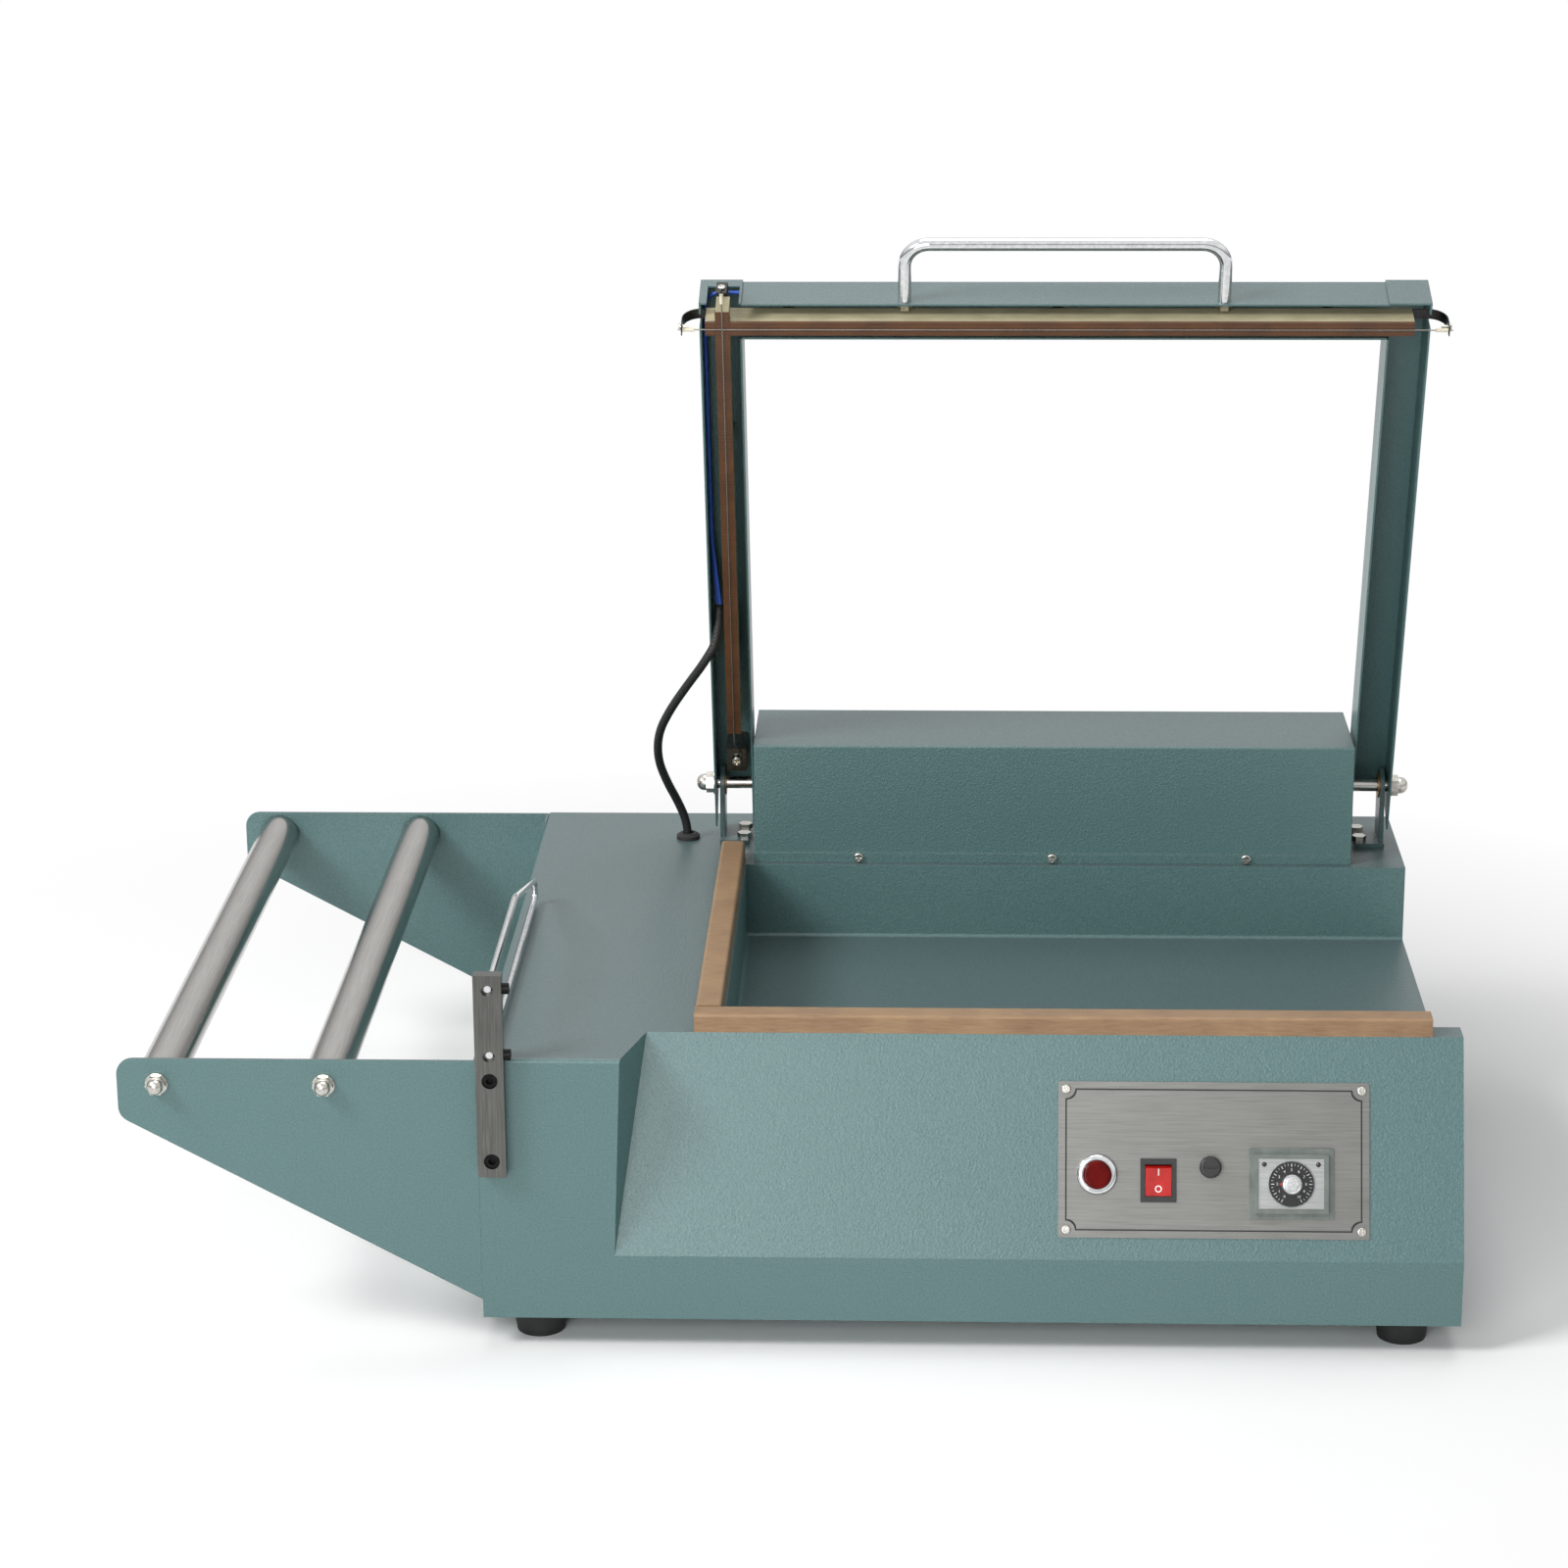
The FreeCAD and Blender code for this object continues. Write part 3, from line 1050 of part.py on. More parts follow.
# Hinge brackets and what holds the arm up
def make_hinge_carriers():
    """Make the two brackets, their bushes and bolts, and the return springs."""
    bushes = []
    bolts = []
    for name, plate, side in BRACKETS:
        piece = Piece("hinge_bracket_" + name)
        piece.add("YZ_Plane", plate, "bracket_plate",
                  [box("hinge_y - bracket_width / 2", "table_z", "hinge_y + bracket_width / 2",
                       "hinge_z")])
        piece.add("YZ_Plane", plate, "bracket_plate",
                  circles=[("hinge_y", "hinge_z", "bracket_width / 2")])
        foot_start = {1: plate, -1: plate + " + bracket_plate - bracket_foot"}[side]
        piece.add("XY_Plane", "table_z", "bracket_plate",
                  [box(foot_start, "hinge_y - bracket_foot_length / 2",
                       foot_start + " + bracket_foot", "hinge_y + bracket_foot_length / 2")])
        piece.cut("YZ_Plane", plate + " - bracket_plate", "3 * bracket_plate",
                  circles=[("hinge_y", "hinge_z", "bush_outer")])
        spots = ["hinge_y - bolt_pitch / 2", "hinge_y + bolt_pitch / 2"]
        piece.cut("XY_Plane", "table_z - sheet_wall", "bracket_plate + 2 * sheet_wall",
                  circles=[(bolt_x(plate, side), y, "bracket_bolt_size / 2 + thread_gap")
                           for y in spots])
        piece.done()
        bushes.append(at(plate + " + bracket_plate / 2", "hinge_y", "hinge_z",
                         {1: RIGHT, -1: LEFT}[side]))
        bolts += [at(bolt_x(plate, side), y, "table_z + bracket_plate") for y in spots]

    bush = Piece("hinge_bush_master")
    bush.add("XY_Plane", "-bracket_plate / 2", "bracket_plate", circles=[("0", "0", "bush_outer")])
    bush.add("XY_Plane", "bracket_plate / 2", "bush_flange",
             circles=[("0", "0", "bush_outer + bush_lip")])
    bush.cut("XY_Plane", "-bracket_plate", "2 * bracket_plate + bush_flange",
             circles=[("0", "0", "shaft_size / 2 + running_gap")])
    copies("hinge_bushes", "machine", (bush, bushes))
    bolt = screw("bracket_bolt_master", "bracket_bolt_size", "bracket_bolt_size * 10 / 6",
                 "bracket_bolt_size * 4 / 6", "bracket_plate + 3 * sheet_wall", "hex")
    copies("bracket_bolts", "machine", (bolt, bolts))


def lever_tip(angle):
    """Give the eye's place beside the hinge line, as Y and Z, with the lever turned back."""
    back = math.radians(angle)
    reach = number("lever_reach")
    return number("hinge_y") + reach * math.sin(back), number("hinge_z") + reach * math.cos(back)


def make_springs():
    """Wind the two tension springs from the rear rail's lugs to the shaft levers' eyes."""
    wire = number("spring_wire")
    loop = number("spring_loop") / 2
    eye_y, eye_z = lever_tip(number("open_angle"))
    foot_y = number("lug_y")
    foot_z = number("lug_z")
    coil_radius = number("spring_coil - spring_wire") / 2
    height = number("spring_pitch * spring_turns")
    shapes = []
    for lever in ("lever_left", "lever_right"):
        x = number(lever)
        low = V(x, foot_y, foot_z + loop)
        high = V(x, eye_y, eye_z - loop)
        line = (high - low).normalize()
        start = low + line * ((high.distanceToPoint(low) - height) / 2)
        helix = Part.makeHelix(number("spring_pitch"), height, coil_radius)
        first = Part.Wire(Part.makeCircle(wire / 2, V(coil_radius, 0, 0), V(0, 1, 0.15)))
        coil = Part.Wire(helix).makePipeShell([first], True, True)
        ends = []
        for level, end in ((0, -(start - low).Length), (height, (start - low).Length)):
            stub = Part.makeCylinder(wire / 2, abs(end) - loop, V(0, 0, level),
                                     V(0, 0, 1 if end > 0 else -1))
            arm = Part.makeCylinder(wire / 2, coil_radius, V(0, 0, level), V(1, 0, 0))
            knob = Part.makeSphere(wire / 2, V(0, 0, level))
            ring = Part.makeTorus(loop, wire / 2, V(0, 0, level + end), V(0, 1, 0))
            ends += [stub, arm, knob, ring]
        solid = coil.multiFuse(ends).Solids[0]
        solid.Placement = FreeCAD.Placement(start, FreeCAD.Rotation(V(0, 0, 1), line))
        shapes.append(solid)
    feature("return_springs", Part.makeCompound(shapes))


def make_limit_switch():
    """Stand the arm's limit switch on a strip in front of the left lever."""
    strip = Piece("limit_switch_strip")
    front = "hinge_y - lever_width / 2 - closing_gap - switch_depth"
    top = "hinge_z + lever_reach"
    strip.add("XY_Plane", "table_z", "sheet_wall",
              [centred("lever_left", front + " + switch_depth / 4", "switch_width",
                       "switch_depth / 2")])
    strip.add("XY_Plane", "table_z", top + " - table_z",
              [box("lever_left - switch_width / 2", front, "lever_left + switch_width / 2",
                   front + " + sheet_wall")])
    case = Piece("limit_switch_case")
    case.add("XY_Plane", top + " - switch_height", "switch_height",
             [box("lever_left - switch_width / 2", front + " + sheet_wall",
                  "lever_left + switch_width / 2", front + " + switch_depth * 0.8")])
    case.add("XZ_Plane", front + " + switch_depth * 0.8", "switch_depth * 0.2",
             circles=[("lever_left", top + " - switch_height / 3", "switch_width / 5")])
    copies("limit_switch", "machine", (strip, [at("0", "0", "0")]), (case, [at("0", "0", "0")]))


# Film cradle
def make_cradle():
    """Fold the two cheek plates and stand the rollers between them."""
    top = "cradle_top"
    outline = [("-cradle_reach", "cradle_top - cradle_nose"), ("0", "foot_height + cradle_tail"),
               ("0", top), ("-cradle_reach", top)]
    for name, face, inward in (("front", "0", 1), ("back", "casing_depth", -1)):
        piece = Piece("cradle_plate_" + name)
        level = {1: face, -1: face + " - cradle_sheet"}[inward]
        piece.add("XZ_Plane", level, "cradle_sheet", [outline])
        middle = level + " + cradle_sheet / 2"
        piece.round("cradle_round", piece.edges("y", x="-cradle_reach", y=middle))
        flange = {1: face, -1: face + " - cradle_flange"}[inward]
        piece.add("XZ_Plane", flange, "cradle_flange",
                  [box("-cradle_sheet", "foot_height + cradle_tail + cradle_sheet", "0", top)])
        piece.cut("XZ_Plane", level + " - cradle_sheet", "3 * cradle_sheet",
                  circles=[(x, "roller_z", "axle_size / 2 + thread_gap") for n, x in ROLLERS])
        bolt_y = {1: face + " + cradle_flange / 2", -1: face + " - cradle_flange / 2"}[inward]
        piece.cut("YZ_Plane", "-2 * cradle_sheet", "3 * cradle_sheet",
                  circles=[(bolt_y, z, "cradle_bolt_size / 2 + thread_gap") for z in CRADLE_BOLTS])
        piece.done()
    bolt = screw("cradle_bolt_master", "cradle_bolt_size", "cradle_bolt_size * 2",
                 "cradle_bolt_size / 2", "cradle_sheet + 4 * sheet_wall")
    copies("cradle_bolts", "machine", (bolt, [
        at("-cradle_sheet", y, z, LEFT) for z in CRADLE_BOLTS
        for y in ("cradle_flange / 2", "casing_depth - cradle_flange / 2")]))

    axle = Piece("roller_axle_master")
    axle.add("XZ_Plane", "-axle_reach * 0.6", "casing_depth + axle_reach * 1.2",
             circles=[("0", "0", "axle_size / 2")])
    copies("roller_axles", "machine", (axle, [at(x, "0", "roller_z") for n, x in ROLLERS]))
    nut = acorn_nut("axle_nut_master", "axle_nut_width", "axle_nut_hex", "axle_nut_dome",
                    "(axle_size + 2 * thread_gap)", "axle_washer")
    copies("axle_nuts", "machine", (nut, [at(x, "0", "roller_z", FRONT) for n, x in ROLLERS]
                                    + [at(x, "casing_depth", "roller_z", BACK)
                                       for n, x in ROLLERS]))
    for name, x in ROLLERS:
        roller = Piece(name + "_roller")
        start = "cradle_sheet + roller_end_gap"
        length = "casing_depth - 2 * (%s)" % start
        roller.add("XZ_Plane", start, length, circles=[(x, "roller_z", "roller_size / 2")])
        roller.round("sheet_wall / 2", [
            "Edge%d" % (i + 1) for i, edge in enumerate(roller.body.Shape.Edges)
            if edge.BoundBox.YLength < 0.01])
        for level in (start, "casing_depth - %s - roller_cap" % start.replace("+", "-")):
            roller.cut("XZ_Plane", level, "roller_cap", circles=[
                (x, "roller_z", "roller_size / 2 - roller_wall"), (x, "roller_z", "roller_hub / 2")])
        roller.cut("XZ_Plane", start, length,
                   circles=[(x, "roller_z", "axle_size / 2 + running_gap")])
        roller.done()


# Film guide
def make_guide():
    """Bolt the guide bar to the casing's corner and slide the rod loop through it."""
    bar = Piece("guide_bar")
    x = "guide_bar_x + guide_bar_width / 2"
    bar.add("XZ_Plane", "-guide_bar_thick", "guide_bar_thick",
            [box("guide_bar_x", "guide_top - guide_bar_length", "guide_bar_x + guide_bar_width",
                 "guide_top")])
    bar.cut("XZ_Plane", "-guide_bar_thick", "guide_bar_thick",
            circles=[(x, z, "guide_rod / 2 + rod_gap") for z in GUIDE_RODS]
            + [(x, z, "guide_screw_size / 2 + thread_gap") for z in BAR_BOLTS])
    bar.cut("XZ_Plane", "-guide_bar_thick", "rod_recess_depth",
            circles=[(x, z, "rod_recess / 2") for z in GUIDE_RODS])
    bar.cut("XZ_Plane", "-guide_bar_thick", "guide_screw_size + sheet_wall / 2",
            circles=[(x, z, "guide_screw_size * 0.95") for z in BAR_BOLTS])
    bar.cut("YZ_Plane", "guide_bar_x + guide_bar_width / 2", "guide_bar_width",
            circles=[("-guide_bar_thick / 2", z, "clamp_screw_size / 2 + thread_gap")
                     for z in GUIDE_RODS])
    bar.done()
    bolt = screw("guide_bolt_master", "guide_screw_size", "guide_screw_size * 10 / 6",
                 "guide_screw_size", "guide_bar_thick + 3", "socket")
    clamp = screw("guide_clamp_master", "clamp_screw_size", "clamp_screw_size * 2",
                  "clamp_screw_size * 1.25",
                  "guide_bar_width / 2 - guide_rod / 2 - closing_gap", "socket")
    seat = "-guide_bar_thick + guide_screw_size + sheet_wall / 2"
    copies("guide_screws", "machine", (bolt, [at(x, seat, z, FRONT) for z in BAR_BOLTS]),
           (clamp, [at("guide_bar_x + guide_bar_width", "-guide_bar_thick / 2", z, RIGHT)
                    for z in GUIDE_RODS]))
    rod_x = number(x)
    high = number("rod_top_z")
    low = number("rod_low_z")
    end = number("rod_recess_depth - guide_bar_thick")
    reach = number("loop_reach")
    nose = number("guide_rod / 2 + loop_nose_round")
    points = [V(rod_x, end, high), V(rod_x, number("loop_knee"), high),
              V(rod_x, reach, low + 2 * nose * 0.85), V(rod_x, reach, low), V(rod_x, end, low)]
    nose_round = number("loop_nose_round")
    radii = [number("loop_knee_round"), nose_round, nose_round * 0.7]
    feature("guide_loop", rod(points, radii, number("guide_rod")))


# Control plate and its controls, in panel axes
def make_panel():
    """Screw the control plate to the slope and set the fixed halves of its controls in it."""
    plate = Piece("control_plate")
    plate.add("XY_Plane", "0", "plate_thick",
              [box("plate_left", "plate_low", "plate_left + plate_width",
                   "plate_low + plate_height")])
    corners = []
    for x in ("plate_left", "plate_left + plate_width"):
        for y in ("plate_low", "plate_low + plate_height"):
            corners += plate.edges("z", x=x, y=y)
    plate.round("plate_corner", corners)
    plate.cut("XY_Plane", "0", "plate_thick", [
        centred("rocker_x", "rocker_up", "rocker_body_width + 2 * panel_gap",
                "rocker_body_height + 2 * panel_gap"),
        centred("timer_x", "timer_up", "timer_window_width + 2 * panel_gap",
                "timer_window_height + 2 * panel_gap")],
              [(x, y, "plate_screw_size / 2 + thread_gap") for x, y in PLATE_SCREWS]
              + [("button_x", "button_up", "button_barrel / 2 + panel_gap"),
                 ("fuse_x", "fuse_up", "fuse_body / 2 + panel_gap")])
    plate.done("panel")
    master = screw("plate_screw_master", "plate_screw_size", "plate_screw_size * 2.2",
                   "plate_screw_size * 0.75", "plate_thick + 3 * sheet_wall")
    copies("plate_screws", "panel",
           (master, [at(x, y, "plate_thick") for x, y in PLATE_SCREWS]))

    ring = Piece("button_housing")
    top = "plate_thick + button_ring_rise"
    spot = ("button_x", "button_up")
    ring.add("XY_Plane", "-button_barrel_depth", "button_barrel_depth + plate_thick",
             circles=[spot + ("button_barrel / 2",)])
    ring.add("XY_Plane", "plate_thick", "button_ring_rise", circles=[spot + ("button_ring / 2",)])
    ring.round("button_ring_rise * 0.6", rim_at(ring, top))
    ring.cut("XY_Plane", top + " - button_depth", "button_depth",
             circles=[spot + ("button_cap / 2 + panel_gap",)])
    stem_room = "button_stem_length + button_travel + panel_gap"
    ring.cut("XY_Plane", top + " - button_depth - " + stem_room.replace("+", "-"),
             "button_depth + " + stem_room, circles=[spot + ("button_stem / 2 + running_gap",)])
    ring.done("panel")

    housing = Piece("switch_housing")
    top = "plate_thick + rocker_bezel_rise"
    housing.add("XY_Plane", "-rocker_body_depth", "rocker_body_depth + plate_thick",
                [centred("rocker_x", "rocker_up", "rocker_body_width", "rocker_body_height")])
    housing.add("XY_Plane", "plate_thick", "rocker_bezel_rise",
                [centred("rocker_x", "rocker_up", "rocker_bezel_width", "rocker_bezel_height")])
    housing.cut("XY_Plane", top + " - rocker_well", "rocker_well",
                [centred("rocker_x", "rocker_up", "rocker_width + 2 * panel_gap",
                         "rocker_height + 2 * panel_gap")])
    housing.cut("YZ_Plane", "rocker_x - rocker_width / 2 - rocker_pin / 2",
                "rocker_width + rocker_pin",
                circles=[("rocker_up", "rocker_axis", "rocker_pin / 2 + running_gap")])
    housing.done("panel")

    holder = Piece("fuse_holder")
    holder.add("XY_Plane", "-fuse_body_depth", "fuse_body_depth + plate_thick",
               circles=[("fuse_x", "fuse_up", "fuse_body / 2")])
    holder.add("XY_Plane", "plate_thick", "fuse_flange_rise",
               circles=[("fuse_x", "fuse_up", "fuse_flange / 2")])
    holder.cut("XY_Plane", "-fuse_body_depth * 0.8",
               "fuse_body_depth * 0.8 + plate_thick + fuse_flange_rise",
               circles=[("fuse_x", "fuse_up", "fuse_bore / 2")])
    holder.done("panel")

    timer = Piece("timer_housing")
    timer.add("XY_Plane", "-timer_body_depth", "timer_body_depth + plate_thick",
              [centred("timer_x", "timer_up", "timer_window_width", "timer_window_height")])
    timer.add("XY_Plane", "plate_thick", "timer_rise",
              [centred("timer_x", "timer_up", "timer_width", "timer_height")])
    timer.add("XY_Plane", "plate_thick + timer_rise", "timer_frame_rise",
              [centred("timer_x", "timer_up", "timer_frame_width", "timer_frame_height")])
    timer.cut("XY_Plane", "timer_floor", "timer_window_depth",
              [centred("timer_x", "timer_up", "timer_window_width", "timer_window_height")])
    lamp_y = "timer_up + timer_window_height / 2 - timer_lamp_inset"
    timer.add("XY_Plane", "timer_floor", "timer_lamp_rise", circles=[
        ("timer_x %s (timer_window_width / 2 - timer_lamp_inset)" % side, lamp_y, "timer_lamp / 2")
        for side in "-+"])
    timer.cut("XY_Plane", "timer_floor - spindle_length - panel_gap", "spindle_length + panel_gap",
              circles=[("timer_x", "timer_up", "dial_spindle / 2 + running_gap")])
    timer.done("panel")


def tilted(along, out):
    """Give a rocker corner's place with the rocker tilted about its pin."""
    return ("rocker_up + (%s) * cos(rocker_tilt) - (%s) * sin(rocker_tilt)" % (along, out),
            "rocker_axis + (%s) * sin(rocker_tilt) + (%s) * cos(rocker_tilt)" % (along, out))


def make_controls():
    """Make the moving halves of the four controls."""
    spot = ("button_x", "button_up")
    cap_base = "plate_thick + button_ring_rise - button_depth + button_travel + panel_gap"
    cap_height = "button_depth - button_travel - panel_gap + button_rise"
    button = Piece("start_button")
    button.add("XY_Plane", cap_base, cap_height, circles=[spot + ("button_cap / 2",)])
    button.round("button_rise * 0.6", rim_at(button, cap_base + " + " + cap_height))
    button.add("XY_Plane", cap_base + " - button_stem_length", "button_stem_length",
               circles=[spot + ("button_stem / 2",)])
    button.done("panel")

    half = "rocker_height / 2"
    rocker = Piece("power_rocker")
    rocker.add("YZ_Plane", "rocker_x - rocker_width / 2", "rocker_width", [[
        tilted(half + " - 1", "rocker_rise"), tilted("0", "rocker_dip"),
        tilted("1 - " + half, "rocker_rise"), tilted("-" + half, "0"),
        tilted("2 - " + half, "-rocker_root"), tilted(half + " - 2", "-rocker_root"),
        tilted(half, "0")]])
    rocker.add("YZ_Plane", "rocker_x - rocker_width / 2 - rocker_pin * 0.4",
               "rocker_width + rocker_pin * 0.8",
               circles=[("rocker_up", "rocker_axis", "rocker_pin / 2")])
    rocker.done("panel")

    cap_base = "plate_thick + fuse_flange_rise + panel_gap"
    cap = Piece("fuse_cap")
    cap.add("XY_Plane", cap_base, "fuse_cap_rise", circles=[("fuse_x", "fuse_up", "fuse_cap_size / 2")])
    cap.round("fuse_cap_rise * 0.25", rim_at(cap, cap_base + " + fuse_cap_rise"))
    cap.add("XY_Plane", cap_base + " - fuse_stem_length", "fuse_stem_length",
            circles=[("fuse_x", "fuse_up", "fuse_bore / 2 - running_gap")])
    cap.cut("XY_Plane", cap_base + " + fuse_cap_rise - fuse_slot_depth", "fuse_slot_depth",
            [centred("fuse_x", "fuse_up", "fuse_cap_size * 0.7", "fuse_slot")])
    cap.done("panel")

    dial = Piece("timer_dial")
    dial_base = "timer_floor + panel_gap"
    dial.add("XY_Plane", "timer_floor - spindle_length", "spindle_length + panel_gap",
             circles=[("timer_x", "timer_up", "dial_spindle / 2")])
    dial.add("XY_Plane", dial_base, "dial_rise", circles=[("timer_x", "timer_up", "dial_size / 2")])
    dial.add("XY_Plane", dial_base + " + dial_rise", "knob_rise",
             circles=[("timer_x", "timer_up", "knob_size / 2")])
    dial.round("dial_rise * 0.3", rim_at(dial, dial_base + " + dial_rise + knob_rise"))
    dial.add("XY_Plane", dial_base + " + dial_rise", "pointer_rise",
             [box("timer_x - dial_size / 2", "timer_up - pointer_width / 2",
                  "timer_x - knob_size / 2 - pointer_width", "timer_up + pointer_width / 2")])
    dial.done("panel")


# Loom to the arm, and the rear cable gland
def arm_point(x, along, down):
    """Give the machine place of a point on the raised arm."""
    back = math.radians(number("open_angle"))
    return V(x, number("hinge_y") - along * math.cos(back) - down * math.sin(back),
             number("hinge_z") + along * math.sin(back) - down * math.cos(back))


def make_loom():
    """Run the loom from its deck grommet up into the arm, and set the rear gland."""
    grommet = Piece("grommet_master")
    bore = "loom_size / 2 + loom_ease"
    grommet.turn([(bore, "-grommet_depth"), ("grommet_neck / 2", "-grommet_depth"),
                  ("grommet_neck / 2", "0"), ("grommet_size / 2", "0"),
                  ("grommet_size / 2", "grommet_collar * 0.6"),
                  ("grommet_neck / 2", "grommet_collar"), (bore, "grommet_collar")])
    copies("loom_grommet", "machine", (grommet, [at("grommet_x", "grommet_y", "table_z")]))

    x = number("grommet_x")
    y = number("grommet_y")
    z = number("table_z")
    tail = number("loom_tail")
    wall = number("wall_foot + loom_size / 2")
    inside = number("loom_end_x")
    route = [arm_point(inside, 178, 8), arm_point(inside, 156, wall - 1),
             arm_point(number("arm_left") - 4, 138, wall + 7), V(124.5, 448, 367),
             V(110.6, 457.7, 344.8), V(100, 467.5, 322.3), V(98.3, 477.5, 297.8),
             V(104.7, 487.3, 275), V(113.5, 496.3, 254.5), V(x - 0.3, y - 0.1, z + 12),
             V(x, y + 0.2, z - 0.45 * tail),
             V(x - 6, y - 4, z - tail - 2)]
    radii = cord_radii(route)
    print("loom bend radii", [round(r, 1) for r in radii])
    feature("wiring_loom", rod(route, radii, number("loom_size")))

    gland = Piece("mains_gland")
    spot = ("gland_x", "foot_height + gland_rise")
    wall_back = "casing_depth - sheet_wall"
    gland.add("XZ_Plane", wall_back + " - gland_lock", "gland_lock",
              [hexagon(spot[0], spot[1], "gland_size")])
    gland.add("XZ_Plane", wall_back, "sheet_wall", circles=[spot + ("gland_bore / 2 + sheet_wall",)])
    gland.add("XZ_Plane", "casing_depth", "gland_reach / 2",
              [hexagon(spot[0], spot[1], "gland_size")])
    gland.add("XZ_Plane", "casing_depth + gland_reach / 2", "gland_reach / 2",
              circles=[spot + ("gland_size * 0.42",)])
    gland.cut("XZ_Plane", wall_back + " - gland_lock", "gland_reach + gland_lock + sheet_wall",
              circles=[spot + ("gland_bore / 2",)])
    gland.done()


# Electrical parts inside the casing
def make_inside():
    """Stand the sealing transformer, the power relay and the terminal block on the pan."""
    floor = "foot_height + sheet_wall"
    core = Piece("transformer_core")
    low = "transformer_y - core_depth / 2"
    core.add("XZ_Plane", low, "core_depth",
             [box("transformer_x - core_width / 2", floor, "transformer_x + core_width / 2",
                  floor + " + core_height")])
    window = "(core_width / 2 - core_yoke - core_leg / 2)"
    for side in (-1, 1):
        middle = "transformer_x + %d * (core_leg / 2 + %s / 2)" % (side, window)
        core.cut("XZ_Plane", low, "core_depth",
                 [centred(middle, floor + " + core_height / 2", window,
                          "core_height - 2 * core_yoke")])
    core.done()
    coil = Piece("transformer_coil")
    coil.add("XY_Plane", floor + " + core_yoke + panel_gap",
             "core_height - 2 * core_yoke - 2 * panel_gap",
             [centred("transformer_x", "transformer_y", "core_leg + 2 * coil_build",
                      "core_depth + 2 * coil_build")])
    coil.cut("XY_Plane", floor + " + core_yoke", "core_height - 2 * core_yoke",
             [centred("transformer_x", "transformer_y", "core_leg + 2 * panel_gap",
                      "core_depth + 2 * panel_gap")])
    coil.done()
    relay = Piece("power_relay")
    relay.add("XY_Plane", floor, "relay_height * 0.7",
              [centred("relay_x", "relay_y", "relay_width", "relay_depth")])
    relay.add("XY_Plane", floor, "relay_height",
              [centred("relay_x", "relay_y", "relay_width", "relay_depth * 0.55")])
    relay.done()
    block = Piece("terminal_block")
    block.add("XY_Plane", floor, "terminal_height",
              [centred("terminal_x", "terminal_y", "terminal_length", "terminal_width")])
    pitch = "terminal_length / terminal_ways"
    wells = []
    for i in range(int(number("terminal_ways"))):
        wells.append(("terminal_x - terminal_length / 2 + (%d + 0.5) * %s" % (i, pitch),
                      "terminal_y", "terminal_width / 6"))
    block.cut("XY_Plane", floor + " + terminal_height / 2", "terminal_height / 2", circles=wells)
    block.done()


# Sealing arm, in arm axes
def make_arm_frame():
    """Fold the arm's two side channels and weld the front channel between them."""
    for name, low in (("left", "arm_left"), ("right", "arm_right - channel_width")):
        piece = Piece("arm_%s_channel" % name)
        high = low + " + channel_width"
        piece.add("YZ_Plane", low, "channel_width",
                  [[("-arm_reach", "-wall_foot"), ("arm_tail", "-wall_foot"),
                    ("arm_tail - tail_cut", "web_rise"), ("-arm_reach", "web_rise")]])
        piece.round("bend_radius / 2", piece.edges("y", z="web_rise", x=low)
                    + piece.edges("y", z="web_rise", x=high)
                    + piece.edges("x", z="web_rise", y="-arm_reach"))
        piece.cut("YZ_Plane", low + " + channel_wall", "channel_width - 2 * channel_wall",
                  [box("-arm_reach + channel_wall", "-wall_foot", "arm_tail + channel_wall",
                       "web_under")])
        outer, inner = (low, high + " - channel_wall") if name == "left" else (
            high + " - channel_wall", low)
        piece.cut("YZ_Plane", inner, "channel_wall",
                  [box("-arm_reach + channel_wall", "-wall_foot", "-bar_front + front_bar_depth",
                       "bar_top - channel_wall")])
        piece.cut("YZ_Plane", outer, "channel_wall",
                  [box("-wire_along - leaf_slot / 2", "-wall_foot", "-wire_along + leaf_slot / 2",
                       "-board_top + leaf_thick + sheet_wall")])
        piece.cut("YZ_Plane", low, "channel_width",
                  circles=[("0", "0", "shaft_size / 2 + thread_gap")])
        if name == "left":
            piece.cut("XZ_Plane", "-arm_reach", "channel_wall",
                      [centred("left_board_x", "(notch_top - wall_foot) / 2", "notch_width",
                               "notch_top + wall_foot")])
            piece.cut("XY_Plane", "web_under", "channel_wall", circles=[
                (x, y, "board_screw_size / 2 + thread_gap") for x, y in SIDE_POSTS])
        piece.done("arm")

    bar = Piece("arm_front_channel")
    left = "arm_left + channel_width"
    length = "arm_width - 2 * channel_width"
    bar.add("YZ_Plane", left, length,
            [box("-bar_front", "-wall_foot", "-bar_front + front_bar_depth", "bar_top")])
    bar.round("bend_radius / 2", bar.edges("x", z="bar_top", y="-bar_front")
              + bar.edges("x", z="bar_top", y="-bar_front + front_bar_depth"))
    bar.cut("YZ_Plane", left, length,
            [box("-bar_front + channel_wall", "-wall_foot",
                 "-bar_front + front_bar_depth - channel_wall", "bar_top - channel_wall")])
    bar.cut("XY_Plane", "bar_top - channel_wall", "channel_wall", circles=[
        (x, "-wire_along", "board_screw_size / 2 + thread_gap") for x in FRONT_POSTS])
    bar.cut("XZ_Plane", "-bar_front", "channel_wall", circles=[
        (x, "-handle_drop", "handle_stud / 2 + thread_gap") for x in HANDLE_LEGS])
    bar.done("arm")


